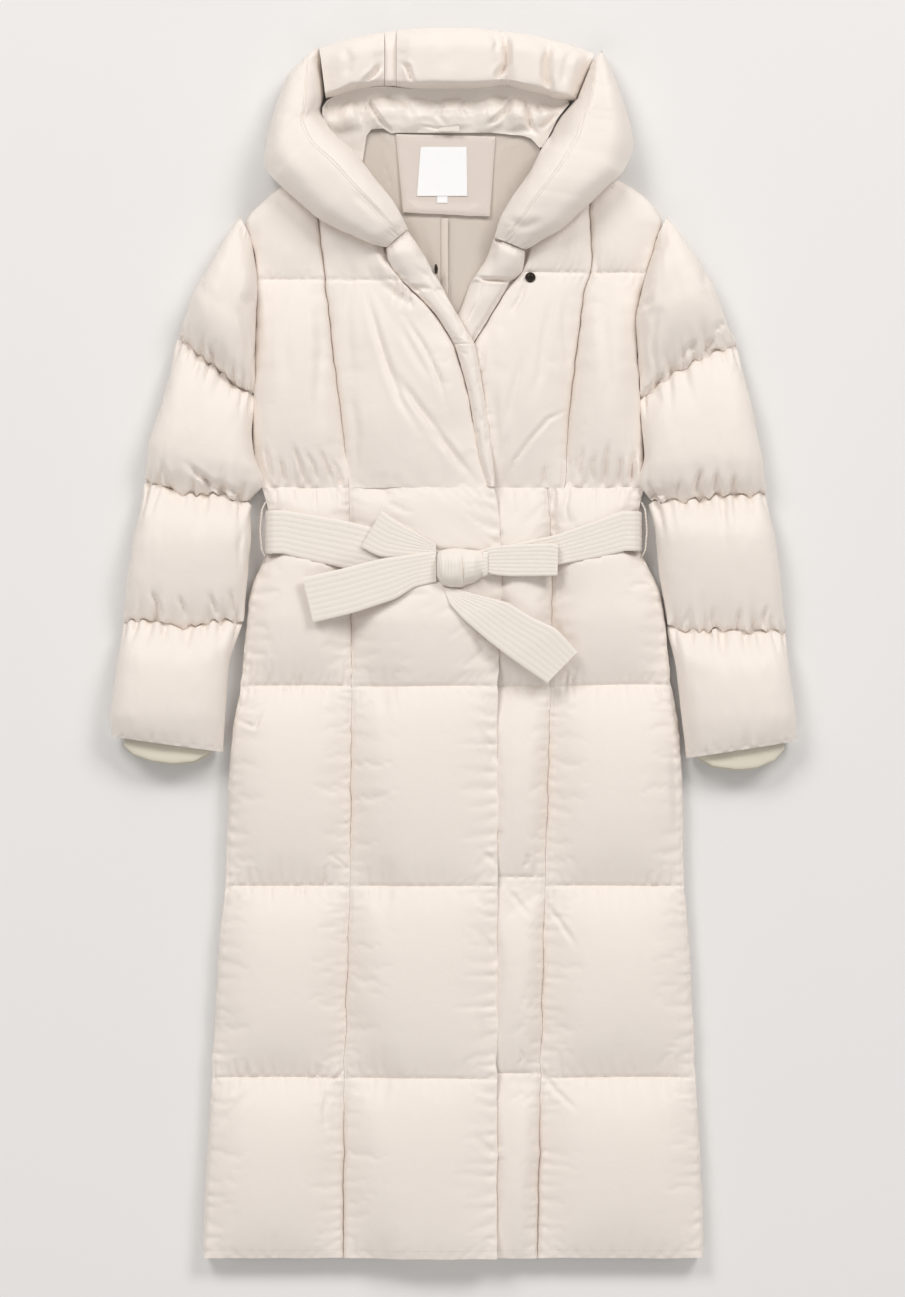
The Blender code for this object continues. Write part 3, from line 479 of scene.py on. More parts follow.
def creased(grid, folds, tops=None):
    """Draws folds into the cloth, which fade out towards their ends.

    Each is a path of x, y, its half width, its depth and its rims' height, in mm.
    """
    points = grid[:, :tops]
    flat = points[:, :, :2]
    for path, wide, deep, ridge in folds:
        path = np.array(path, float) * MM
        best = np.full(points.shape[:2], 1e9)
        place = np.zeros(points.shape[:2])
        total = np.linalg.norm(np.diff(path, axis=0), axis=1).sum()
        run = 0.0
        for a, b in zip(path, path[1:]):
            d = b - a
            long = np.linalg.norm(d)
            f = np.clip(((flat - a) @ d) / long ** 2, 0, 1)
            away = np.linalg.norm(flat - a - f[:, :, None] * d, axis=2)
            near = away < best
            best[near] = away[near]
            place[near] = ((run + f * long) / total)[near]
            run += long
        fade = np.clip(np.minimum(place, 1 - place) / 0.3, 0, 1)
        fade = 0.15 + 0.85 * fade * fade * (3 - 2 * fade)
        w = wide * MM
        trough = np.exp(-(best / w) ** 2)
        rims = np.exp(-((best - 2.1 * w) / (1.2 * w)) ** 2)
        end = np.exp(-(best / (2.5 * w)) ** 2)
        points[:, :, 2] -= (deep * trough - ridge * rims * end) * fade * MM
    return grid


def add_piece(name, points, faces, material, sharp=50):
    """A closed piece of the coat, facing out and shaded smooth."""
    mesh = bpy.data.meshes.new(name)
    mesh.from_pydata(points, [], faces)
    shape = bmesh.new()
    shape.from_mesh(mesh)
    bmesh.ops.recalc_face_normals(shape, faces=shape.faces)
    shape.to_mesh(mesh)
    shape.free()
    mesh.shade_smooth()
    mesh.set_sharp_from_angle(angle=math.radians(sharp))
    mesh.materials.append(material)
    piece = bpy.data.objects.new(name, mesh)
    bpy.context.scene.collection.objects.link(piece)
    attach(piece, "root")
    return piece


def close_panel(name, grid, under, material, inner_columns=0):
    """Closes a panel: walls down from its border, and a plain inner face.

    under(x, y) is the inner face's height. With inner_columns it isn't all in one plane.
    """
    rows, columns, _ = grid.shape
    points = [tuple(p) for p in grid.reshape(-1, 3)]
    kept = sorted({round(k * (columns - 1) / (inner_columns + 1))
                   for k in range(inner_columns + 2)})
    lower = {}
    for j in range(rows):
        for i in range(columns) if j in (0, rows - 1) else kept:
            x, y, _ = grid[j, i]
            lower[j, i] = len(points)
            points.append((x, y, under(x, y)))
    faces = grid_faces(rows, columns)
    for j in range(rows - 1):
        for i in (0, columns - 1):
            faces.append((j * columns + i, (j + 1) * columns + i, lower[j + 1, i], lower[j, i]))
        for a, b in zip(kept, kept[1:]):
            near = range(a, b + 1) if j == 0 else (a, b)
            far = range(b, a - 1, -1) if j == rows - 2 else (b, a)
            faces.append(tuple([lower[j, i] for i in near] + [lower[j + 1, i] for i in far]))
    for i in range(columns - 1):
        for j in (0, rows - 1):
            faces.append((j * columns + i, j * columns + i + 1, lower[j, i + 1], lower[j, i]))
    return add_piece(name, points, faces, material)


class Threads:
    """All the visible stitches of one thread, as short bars in one mesh."""

    def __init__(self):
        self.points, self.faces = [], []

    def sew(self, path, pitch=3.4 * MM, long=2.5 * MM, wide=0.55 * MM):
        """Sews along a path of points on the cloth."""
        path = np.array(path, float)
        run = np.concatenate([[0], np.linalg.norm(np.diff(path, axis=0), axis=1).cumsum()])
        for s in np.arange(pitch / 2, run[-1] - pitch / 2, pitch):
            a, b = (np.array([np.interp(s + d, run, path[:, k]) for k in range(3)])
                    for d in (-long / 2, long / 2))
            way = (b - a) / max(np.linalg.norm(b - a), 1e-9)
            side = np.cross(way, (0, 0, 1))
            side /= max(np.linalg.norm(side), 1e-9)
            middle, n = (a + b) / 2 + (0, 0, 0.12 * MM), len(self.points)
            self.points += [tuple(a), tuple(middle + side * wide / 2),
                            tuple(middle + (0, 0, 0.32 * MM)), tuple(middle - side * wide / 2),
                            tuple(middle - (0, 0, 0.3 * MM)), tuple(b)]
            for k in range(4):
                one, two = n + 1 + k, n + 1 + (k + 1) % 4
                self.faces += [(n, one, two), (n + 5, two, one)]

    def knot_off(self, name, material):
        """Makes one piece of all that is sewn so far."""
        add_piece(name, self.points, self.faces, material, 180)


def plain_paint(name, colour, rough, metallic=0.0):
    """A material of one even colour."""
    material = bpy.data.materials.new(name)
    material.use_nodes = True
    shader = material.node_tree.nodes["Principled BSDF"]
    shader.inputs["Base Color"].default_value = (*colour, 1.0)
    shader.inputs["Roughness"].default_value = rough
    shader.inputs["Metallic"].default_value = metallic
    return material


threads = Threads()
thread_paint = plain_paint("sewing_thread", (0.80, 0.72, 0.64), 0.55)


def under_of(node):
    """The inner face's height anywhere under a panel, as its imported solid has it."""
    tree, (low, high) = search_tree(node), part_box(node)
    middle = ((low.x + high.x) / 2, (low.y + high.y) / 2)
    return lambda x, y: height_on(tree, x, min(max(y, low.y + 1e-4), high.y - 1e-4), middle, -1)


def flat_under(node):
    """The inner face's height under a panel whose back is flat."""
    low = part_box(node)[0].z
    return lambda x, y: low


def padded(piece, *nodes, share=0.6):
    """Hides the imported solids that a padded piece of shell cloth stands for. The piece itself
    and share, how full it is, are not used.
    """
    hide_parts(*nodes)


def close_front(node, points):
    """Closes one of the fronts. The right centre laps over the left, so its back isn't flat."""
    lap = node.startswith("right") and node.endswith("centre")
    under, inner_columns = (under_of(node), 6) if lap else (flat_under(node), 0)
    padded(close_panel(node + "_padded", points, under, shell_cloth, inner_columns), node)


belt_nodes = ["belt_run_right", "belt_run_left", "belt_tail_right", "belt_tail_left",
              "belt_end_right", "belt_bow_left", "belt_knot"]
panel_cell = 4.0 * MM
skirt = {}
# depth, spacing and length of the gathers at each line, from the hem up, and at the sides.
# The length of a node's name serves as that piece's own seed.
for node, at_rows, at_columns, covers in (
        ("right_skirt_side",
         ((1.4, 14, 12), (2.6, 12, 17), (2.6, 12, 18), (2.6, 12, 20), (3.2, 15, 20)),
         ((2.2, 17, 9), (1.9, 13, 8)), []),
        ("right_skirt_centre",
         ((0.8, 20, 12), (0.9, 15, 18), (0.9, 15, 18), (0.9, 15, 18), (0.9, 18, 18)),
         ((0.6, 16, 8), (2.4, 17, 15)), []),
        ("left_skirt_centre",
         ((0.9, 16, 12), (1.6, 13, 14), (1.6, 13, 14), (1.6, 13, 14), (3.0, 15, 22)),
         ((0.0, 0, 0), (1.6, 13, 9)), ["right_skirt_centre"]),
        ("left_skirt_side",
         ((1.3, 16, 12), (2.2, 13, 16), (2.2, 13, 16), (2.2, 13, 18), (3.0, 15, 20)),
         ((2.0, 15, 10), (2.2, 17, 9)), [])):
    lines = list(quilt_lines)
    if node == "left_skirt_centre":    # it is sewn a little higher than the lap
        lines[1] += 6 * MM
        lines[2] += 10 * MM
    quilt = panel(node, lines, panel_cell)
    quilt.gather(at_rows, at_columns, len(node))
    quilt.put_under(belt_nodes + covers, panel_cell)
    quilt.crumple(0.4 * MM, 40 * MM, 60 * MM, 3.0)
    quilt.crumple(0.45 * MM, 12 * MM, 110 * MM, 5.0)
    skirt[node] = quilt
fill(list(skirt.values()))
# creases that lie where the coat shows them: path, half width, depth and height of its rims
skirt_folds = {
    "right_skirt_side": [
        ([(-250, -91), (-230, -98), (-222, -80)], 2.6, 2.6, 1.2),
        ([(-234, -518), (-252, -538), (-274, -565)], 5.0, 2.2, 1.0),
        ([(-146, -509), (-136, -505), (-125, -491)], 2.0, 2.6, 1.2),
        ([(-146, -522), (-150, -545), (-147, -565)], 3.0, 2.2, 1.0),
        ([(-142, -246), (-132, -254), (-124, -262)], 2.0, 2.0, 1.0),
        ([(-160, 60), (-152, 30), (-156, 4)], 5.0, 1.6, 0.8)],
    "right_skirt_centre": [
        ([(30, -100), (40, -118), (52, -148)], 4.5, 2.2, 1.2),
        ([(32, -240), (44, -252), (54, -262)], 3.5, 2.2, 1.0),
        ([(28, -332), (40, -348), (52, -378)], 4.5, 2.4, 1.2),
        ([(30, -430), (38, -455), (52, -505)], 5.0, 2.2, 1.2),
        ([(26, -570), (36, -582), (50, -598)], 4.0, 2.2, 1.0),
        ([(40, 40), (30, 0), (34, -30)], 6.0, 1.4, 0.8)],
    "left_skirt_centre": [
        ([(64, -286), (74, -300), (88, -318)], 3.0, 2.2, 1.0),
        ([(82, -262), (86, -254), (84, -244)], 2.4, 2.4, 1.0),
        ([(76, -492), (80, -482), (78, -470)], 2.4, 2.2, 1.0),
        ([(97, -496), (104, -505), (110, -518)], 2.2, 2.6, 1.0),
        ([(96, 120), (104, 96), (100, 66)], 4.0, 2.0, 1.0)],
    "left_skirt_side": [
        ([(116, 176), (114, 150), (118, 124)], 3.5, 3.0, 1.4),
        ([(134, 178), (130, 158), (132, 140)], 3.0, 2.4, 1.2),
        ([(106, -302), (122, -322), (142, -352)], 3.0, 2.0, 1.0),
        ([(104, -498), (118, -520), (143, -542)], 3.0, 2.2, 1.0),
        ([(116, 30), (124, 0), (118, -30)], 4.0, 2.0, 1.0),
        ([(255, -120), (258, -170), (260, -228)], 5.0, 1.8, 0.9)]}
for node, quilt in skirt.items():
    points = crisp(quilt, refined(quilt), 0.9 if "side" in node else 0.45, 8.5, 21.0)
    for k in quilt.line_rows[1:-1]:
        threads.sew(points[2 * k])
    threads.sew(points[5])    # the hem's own line
    seams = {0: seam_deep, -1: seam_deep}
    if node == "right_skirt_centre":
        del seams[-1]    # the front's free edge
    close_front(node, sunk_seams(creased(points, skirt_folds[node]), seams, 1.0))

# ---- Chest fronts ----------------------------------------------------------------------------
# The same padded cloth above the waist, with one loosely quilted line at the yoke. The wrap
# draws folds from the neck down to the knot.
YOKE = HEM + 1140 * MM
chest = {}
# the gathers at the waist and at the yoke; none at the shoulder and at the sides
for node, at_waist, at_yoke, covers in (
        ("right_chest_side", (5.5, 15, 34), (1.0, 13, 14), ["hood_rim_right"]),
        ("right_chest_centre", (1.0, 18, 18), (0.6, 16, 14),
         ["hood_rim_right", "right_collar_tab"]),
        ("left_chest_centre", (3.2, 16, 30), (1.4, 13, 18),
         ["hood_rim_left", "right_chest_centre", "right_front_facing", "right_collar_tab"]),
        ("left_chest_side", (5.5, 15, 34), (1.8, 12, 22), ["hood_rim_left"])):
    yoke = YOKE + (-5 if "right" in node else 3) * MM
    quilt = panel(node, [WAIST, yoke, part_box(node)[1].y], panel_cell, seed=5.0)
    quilt.stitched[quilt.line_rows[1], 1:-1:2] = False
    quilt.stitched[quilt.line_rows[1], 2:-1:4] = False
    quilt.full = 0.0005
    quilt.gather((at_waist, at_yoke), (), 4.0 + len(node))
    quilt.put_under(covers, panel_cell)
    quilt.crumple(0.8 * MM, 45 * MM, 90 * MM, 8.0)
    quilt.crumple(1.5 * MM, 17 * MM, 120 * MM, 11.0)
    chest[node] = quilt
fill(list(chest.values()), pressure=10.0)
chest_folds = {
    "right_chest_side": [
        ([(-229, 500), (-234, 440), (-226, 360), (-230, 290)], 5.0, 2.4, 1.2),
        ([(-190, 420), (-196, 350), (-192, 290)], 7.0, 1.8, 0.8),
        ([(-160, 404), (-154, 340), (-158, 280), (-150, 230)], 6.0, 2.2, 1.0),
        ([(-219, 228), (-214, 206), (-209, 184)], 3.0, 4.6, 1.8),
        ([(-202, 214), (-198, 200), (-196, 184)], 2.6, 3.6, 1.4),
        ([(-186, 230), (-178, 206), (-172, 184)], 2.8, 4.8, 1.8),
        ([(-172, 222), (-162, 204), (-157, 184)], 2.6, 3.8, 1.6),
        ([(-156, 226), (-147, 204), (-141, 185)], 2.6, 4.2, 1.8),
        ([(-142, 214), (-134, 198), (-131, 184)], 2.4, 3.4, 1.4)],
    "right_chest_centre": [
        ([(-103, 412), (-89, 360), (-74, 314), (-61, 279), (-39, 243)], 4.2, 4.0, 1.3),
        ([(-63, 306), (-39, 271), (7, 211), (31, 180)], 3.6, 3.6, 1.2),
        ([(-57, 378), (-33, 339), (-17, 306), (-9, 273)], 3.4, 3.6, 1.2),
        ([(-65, 372), (-44, 333), (-24, 300)], 5.0, 1.8, 1.0),
        ([(-84, 330), (-60, 296), (-30, 262), (0, 232)], 6.0, 1.6, 0.9),
        ([(-30, 250), (-6, 222), (14, 192)], 4.0, 2.6, 1.4),
        ([(-66, 425), (-67, 410), (-70, 394)], 2.4, 3.2, 1.6),
        ([(-58, 421), (-58, 406), (-61, 390)], 2.2, 3.2, 1.6),
        ([(-50, 416), (-48, 402), (-51, 386)], 2.2, 3.0, 1.4),
        ([(-90, 480), (-84, 455), (-73, 430)], 3.5, 2.6, 1.6),
        ([(-126, 470), (-120, 430), (-124, 380), (-118, 300)], 6.0, 1.8, 0.9),
        ([(-118, 290), (-112, 240), (-116, 190)], 5.0, 1.8, 0.9)],
    "left_chest_centre": [
        ([(132, 269), (110, 259), (89, 235), (71, 211), (63, 181)], 2.6, 3.0, 1.2),
        ([(81, 334), (74, 305), (67, 279), (62, 250)], 5.0, 2.4, 1.2),
        ([(63, 243), (60, 224), (58, 205)], 3.0, 2.6, 1.4),
        ([(35, 340), (33, 320), (31, 300)], 3.0, 2.6, 1.4),
        ([(46, 300), (48, 262), (52, 226), (55, 195)], 4.0, 2.6, 1.4),
        ([(112, 400), (104, 350), (100, 310), (90, 280)], 5.0, 2.0, 1.0),
        ([(84, 420), (78, 400), (66, 380)], 3.4, 2.6, 1.4),
        ([(130, 410), (128, 360), (136, 310)], 4.0, 1.6, 0.8),
        ([(106, 206), (104, 192), (106, 181)], 2.4, 3.6, 1.6)],
    "left_chest_side": [
        ([(222, 480), (214, 430), (220, 350), (216, 290)], 5.0, 2.2, 1.0),
        ([(180, 430), (174, 370), (180, 300), (172, 250)], 6.0, 1.8, 0.9),
        ([(150, 448), (154, 436), (150, 424)], 2.4, 2.2, 1.0),
        ([(168, 450), (166, 436), (170, 422)], 2.4, 2.2, 1.0),
        ([(212, 226), (208, 206), (204, 184)], 3.0, 4.4, 1.8),
        ([(194, 218), (193, 202), (190, 184)], 2.6, 3.6, 1.4),
        ([(180, 232), (176, 206), (176, 184)], 2.8, 4.8, 1.8),
        ([(164, 220), (160, 202), (162, 184)], 2.6, 3.8, 1.6),
        ([(150, 228), (146, 206), (144, 186)], 2.6, 4.2, 1.8),
        ([(134, 214), (130, 200), (128, 186)], 2.4, 3.2, 1.4)]}
armhole_deep = 4.0 * MM
for node, quilt in chest.items():
    points = crisp(quilt, refined(quilt), 1.2 if "side" in node else 0.25, 9.0, 22.0)
    threads.sew(points[2 * quilt.line_rows[1]])
    seams = {0: seam_deep, -1: seam_deep}
    if "side" in node:
        seams[0 if "right" in node else -1] = armhole_deep
    close_front(node, sunk_seams(creased(points, chest_folds[node]), seams, 2.0))

# ---- Neck edges ------------------------------------------------------------------------------
# A narrow padded facing along each front edge that runs on up into the hood's end, a short
# thick pouch drawn in where it is sewn to the hood.
def stations_at(table, times, reach=1.6):
    """Every column of a table of stations, at these places along it, its corners rounded."""
    columns = list(zip(*table))
    return [eased(np.interp(times, columns[0], column), reach) for column in columns[1:]]


def tube(nodes, table, seams, cell, splits=(0.0, 1.0), groove=0.0, sway=1.5 * MM, sides=16,
         seed=0.0, foot=16 * MM):
    """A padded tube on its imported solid, flattened, lying along a table of stations.

    A station is its place along, outer x, y, inner x, y and how far its middle is pushed
    down, in mm. splits are the shares across at which a line is stitched along the top,
    groove deep. The rounded side walls meet the table foot inside the edges.
    """
    tree = search_tree(*nodes)
    times, line_rows = [], [0]
    for a, b in zip(seams, seams[1:]):
        part = stations_at(table, np.linspace(a, b, 40), 0.5)
        mid = np.array([(part[0] + part[2]) / 2, (part[1] + part[3]) / 2]) * MM
        long = np.linalg.norm(np.diff(mid, axis=1), axis=0).sum()
        count = max(3, round(long / cell))
        times += list(np.linspace(a, b, count, endpoint=False))
        line_rows.append(len(times))
    times = np.array(times + [seams[-1]])
    ax, ay, bx, by, bow = stations_at(table, times)
    wide = np.hypot(bx - ax, by - ay).max() * MM
    shares, marks = [], [0]
    for a, b in zip(splits, splits[1:]):
        count = max(4, round((b - a) * wide / cell * 1.12))
        turn = np.linspace(0, math.pi, count, endpoint=False)
        shares += list(a + (b - a) * (0.5 - 0.5 * np.cos(turn)) * 0.6
                       + (b - a) * turn / math.pi * 0.4)
        marks.append(len(shares))
    shares.append(1.0)
    tops = len(shares)
    walls = np.linspace(0, math.pi / 2, 6 if sides > 12 else 3)[1:-1]
    inset = min(0.3, foot / wide)
    bottom = np.linspace(1 - inset, inset, sides - 1 - 2 * len(walls))
    side_wall = 1 - inset * (1 - np.cos(walls))
    shares = np.array(shares + list(side_wall) + list(bottom) + list(1 - side_wall[::-1]))
    sunk = np.zeros(len(shares))
    for mark in marks[1:-1]:
        sunk[mark] = groove
    grid = np.zeros((len(times), len(shares), 3))
    for j in range(len(times)):
        near = min((abs(line - j) for line in line_rows[1:-1]), default=99) * cell
        middle = ((ax[j] + bx[j]) / 2 * MM, (ay[j] + by[j]) / 2 * MM - bow[j] * MM)
        for i, f in enumerate(shares):
            x = (ax[j] + (bx[j] - ax[j]) * f) * MM
            y = (ay[j] + (by[j] - ay[j]) * f - bow[j] * math.sin(math.pi * f)) * MM
            z = height_on(tree, x, y, middle, 1 if i < tops else -1)
            waver = ripple(24 * x, 2, seed) + 0.5 * ripple(70 * x, 4, seed)
            scallop = abs(math.sin(math.pi * (x / (19 * MM) + 1.4 * ripple(21 * x, 3, seed))))
            waver += 0.9 * (scallop - 0.6) * (sway > 3 * MM)
            y += sway * waver * math.exp(-near / (12 * MM))
            grid[j, i] = (x, y, z - sunk[i])
        for k, turn in enumerate(walls):
            for i, edge, end in ((tops + k, tops - 1, tops + len(walls)),
                                 (-1 - k, 0, -1 - len(walls))):
                low, high = grid[j, end, 2], grid[j, edge, 2]
                grid[j, i, 2] = low + (high - low) * (1 - math.sin(turn))
    quilt = Quilt(grid, line_rows, marks + [len(shares)], closed=True)
    quilt.stitched[:, [0, tops - 1]] = False
    under = grid[:, tops:, 2]
    quilt.stitched[:, tops:] |= under < under.min(1)[:, None] + 4 * MM
    quilt.smooth_heights(6)
    quilt.spread = 2.5 * MM
    quilt.tops = tops
    return quilt


def close_tube(name, points, material, mouth=()):
    """Skins rings of points and closes the ends; mouth adds rings inside the last one."""
    points = np.maximum(points, (-np.inf, -np.inf, 0.0))    # none of it below the table
    columns = points.shape[1]
    rings = [*points, *mouth]
    flat = [tuple(p) for ring in rings for p in ring]
    faces = grid_faces(len(rings), columns, around=True)
    for j in (0, len(rings) - 1):
        centre = len(flat)
        flat.append(tuple(np.mean(rings[j], axis=0)))
        faces += [(j * columns + i, j * columns + (i + 1) % columns, centre)
                  for i in range(columns)]
    return add_piece(name, flat, faces, material)


# stations of the strips, from the hood down: outer or upper x, y, inner x, y
strip_right = [(-77.5, 456.2, -53, 475.8), (-77, 446, -42, 461), (-70, 431, -31, 443),
               (-60, 419.5, -21.5, 427), (-49.5, 409.5, -12, 410), (-39.7, 400, -7, 400),
               (-21.1, 380, 4.6, 380), (-8.3, 360, 16.3, 360), (1.3, 345, 25, 345),
               (5.7, 330, 27.8, 330), (11.2, 310, 31.6, 310), (16.5, 290, 35.0, 290),
               (22.0, 260, 39.8, 260), (26.4, 230, 43.8, 230), (29.6, 200, 46.8, 200),
               (32.6, 180.5, 48.2, 180.5)]
strip_left = [(47, 467, 82, 452.5), (43.5, 458, 82, 442), (38, 444, 80, 430),
              (28, 430, 71, 421.5), (20.5, 419, 65, 419), (16.7, 410, 61, 410),
              (9.3, 390, 49.5, 390), (-0.7, 370, 37.4, 370), (-12.9, 350, 25.3, 350),
              (-21.8, 330, 12.2, 330), (-29.7, 310, -2, 310), (-37, 292.5, -18, 292.5)]
for side, table, seams, covers, folds in (
        ("right", strip_right, [0, 8, 15], [],
         [([(-70, 428), (-64, 424), (-60, 416)], 1.8, 2.6, 1.0),
          ([(-62, 420), (-55, 418), (-50, 410)], 1.8, 2.4, 1.0),
          ([(-52, 413), (-45, 412), (-38, 404)], 1.8, 2.4, 1.0),
          ([(-46, 434), (-30, 424), (-16, 404), (0, 380)], 3.0, 1.4, 0.6)]),
        ("left", strip_left, [0, 11], ["right_chest_centre", "right_front_facing"],
         [([(80, 424), (62, 419), (40, 420), (24, 424)], 2.2, 3.6, 1.2),
          ([(36, 422), (26, 392), (14, 368)], 1.6, 1.6, 0.8),
          ([(60, 412), (44, 386), (28, 360), (14, 336)], 2.2, 2.0, 1.0)])):
    nodes = (side + "_collar_tab", side + "_front_facing")
    rows = [(k, *row, 0) for k, row in enumerate(table)]
    quilt = tube(nodes, rows, seams, 2.6 * MM, sides=6, seed=1.5)
    quilt.gather([(1.2, 9, 10)] + [(0.3, 9, 6)] * (len(seams) - 1), (), 5.0)
    if covers:
        quilt.put_under(covers, 2.6 * MM)
    quilt.crumple(0.5 * MM, 12 * MM, 20 * MM, 4.0)
    fill([quilt], pressure=8.0, rise=4 * MM)
    points = creased(refined(quilt), folds, quilt.fine_tops)
    threads.sew(points[:, quilt.fine_tops - 4 if side == "right" else 4])
    if side == "right":    # and across, where the collar tab meets the facing
        threads.sew(points[2 * quilt.line_rows[1], :quilt.fine_tops])
    padded(close_tube(side + "_neck_edge_padded", points, shell_cloth), *nodes)

# ---- Sleeves ---------------------------------------------------------------------------------
# Each sleeve is four puffs of filling between deep gathered seams, flat where it lies on the
# table, with a plain knitted cuff inside its mouth.
# place along, outer x, y, inner x, y, bow
sleeve_right = [(0, -250, 494, -240, 474, 0), (1, -282, 438, -229, 409, 0),
                (2, -303, 403, -230, 351, 2), (2.5, -311, 378, -230.5, 314, 5),
                (3, -316, 359, -232, 286, 8), (4, -337, 286, -234, 240, 5),
                (5, -354, 230, -229, 202, 2), (6, -356, 184, -241, 163, 0),
                (7, -372, 119, -239, 119, 0), (8, -379, 75, -244, 66, 0),
                (9, -382, 26, -250, 24, 5), (10, -389, -15, -262, -23, 3),
                (11, -398, -84, -265, -84, 0), (12, -396, -109, -267, -127, 0)]
sleeve_left = [(0, 249, 494, 237, 469, 0), (1, 278, 452, 221, 416, 0),
               (2, 304, 409, 211, 376, -3), (2.5, 317, 374, 214, 328, -7),
               (3, 328, 342, 217, 279, -12), (4, 346, 281, 219.5, 235, -6),
               (5, 359, 212, 221.5, 203, -3), (6, 361, 172, 236, 163, 0),
               (7, 373, 125, 239, 121, 0), (8, 380, 75, 243, 77, 0), (9, 385, 13, 252, 17, 4),
               (10, 389, -26, 259, -26, 2), (11, 397, -84, 265, -90, 0),
               (12, 398, -114, 270, -134, 0)]
sleeve_seams = [0, 3, 6, 9, 12]
sleeves = {}
# side is the way to the body. At the shoulder a sleeve reaches out to the armhole: how far in
# mm, from which y, and over what length.
for node, table, side, (tip, tip_from, tip_long) in (
        ("sleeve_right", sleeve_right, 1, (3.5, 0.395, 0.03)),
        ("sleeve_left", sleeve_left, -1, (2.5, 0.455, 0.02))):
    quilt = tube([node], table, sleeve_seams, 3.6 * MM, sway=6.0 * MM, sides=24,
                 seed=len(node))
    # the second puff is squeezed out against the body under the arm
    inner = quilt.points[:, quilt.tops - 1, 0][:, None]
    near = np.maximum(0.0, 1 - np.abs(quilt.points[:, :, 0] - inner) / (34 * MM)) ** 1.5
    y = quilt.points[:, :, 1]
    reach = 14 * np.exp(-((y - 0.184) / 0.017) ** 2)
    reach += 5.0 * np.clip((y + 0.12) / 0.2, 0, 1) * (y < 0.16)
    reach += tip * np.clip((y - tip_from) / tip_long, 0, 1)
    quilt.points[:, :, 0] += side * reach * MM * near
    quilt.sink = 4.5 * MM
    quilt.gather(((1.0, 14, 10), (6.5, 17, 24), (7.0, 18, 26), (6.0, 17, 22), (1.8, 15, 12)),
                 (), len(node))
    quilt.spread = 8.0 * MM
    quilt.crumple(0.9 * MM, 11 * MM, 30 * MM, 6.0)
    sleeves[node] = quilt
fill(list(sleeves.values()), pressure=14.0)
for quilt in sleeves.values():
    # the upper arm's filling has slid down against its seam
    upper = quilt.points[:quilt.line_rows[1], :quilt.tops, 2]
    along = np.linspace(0, 1, len(upper))[:, None]
    across = np.sin(np.pi * np.linspace(0, 1, quilt.tops))[None, :]
    upper += 6.5 * MM * np.exp(-((along - 0.76) / 0.16) ** 2) * across
sleeve_folds = {
    "sleeve_right": [
        ([(-302, 336), (-288, 327), (-272, 313), (-262, 302), (-246, 290)], 3.2, 7.0, 2.0),
        ([(-268, 312), (-252, 298), (-238, 289)], 3.0, 6.0, 1.5),
        ([(-318, 366), (-308, 346), (-296, 338)], 3.0, 4.5, 1.8),
        ([(-284, 344), (-277, 328), (-270, 318)], 3.0, 4.0, 1.6),
        ([(-338, 208), (-332, 188), (-322, 168)], 3.6, 5.0, 2.2),
        ([(-308, 206), (-292, 192), (-276, 180), (-258, 168)], 3.6, 6.0, 2.4),
        ([(-290, 196), (-282, 180), (-280, 172)], 2.6, 3.5, 1.4),
        ([(-274, 186), (-258, 176), (-244, 169)], 3.0, 6.0, 2.0),
        ([(-350, 60), (-342, 44), (-338, 30)], 2.8, 4.0, 1.6),
        ([(-318, 54), (-312, 40), (-310, 28)], 2.6, 3.6, 1.4),
        ([(-282, 56), (-276, 42), (-272, 28)], 2.8, 4.0, 1.6),
        ([(-258, 60), (-256, 44), (-254, 30)], 2.6, 3.6, 1.2),
        ([(-246, 380), (-238, 352), (-236, 322)], 3.6, 3.0, 1.2),
        ([(-244, 130), (-248, 108), (-246, 88)], 3.0, 2.4, 1.0)],
    "sleeve_left": [
        ([(219, 283), (230, 296), (246, 311), (260, 324)], 3.2, 7.0, 2.0),
        ([(262, 330), (274, 341), (284, 346)], 3.0, 5.5, 2.0),
        ([(283, 330), (294, 342), (304, 353)], 3.0, 4.5, 1.8),
        ([(300, 360), (310, 368), (318, 374)], 2.8, 4.0, 1.6),
        ([(246, 330), (250, 316), (256, 306)], 2.8, 3.4, 1.4),
        ([(221, 166), (236, 172), (246, 173)], 3.0, 6.0, 2.0),
        ([(287, 200), (282, 186), (280, 172)], 3.0, 5.0, 2.2),
        ([(304, 197), (302, 184), (298, 170)], 2.8, 4.6, 2.0),
        ([(326, 192), (322, 182), (318, 168)], 2.8, 4.6, 2.0),
        ([(262, 186), (258, 176), (262, 166)], 2.6, 4.0, 1.6),
        ([(272, 34), (266, 22), (262, 10)], 2.6, 3.6, 1.4),
        ([(300, 38), (298, 24), (302, 11)], 2.6, 3.6, 1.4),
        ([(332, 38), (328, 24), (330, 11)], 2.6, 3.6, 1.4),
        ([(364, 42), (358, 28), (360, 14)], 2.8, 4.0, 1.6),
        ([(236, 380), (230, 350), (232, 318)], 3.6, 3.0, 1.2)]}
deeper, flatter = 1.2, 0.9    # thick filling makes deeper folds with lower rims
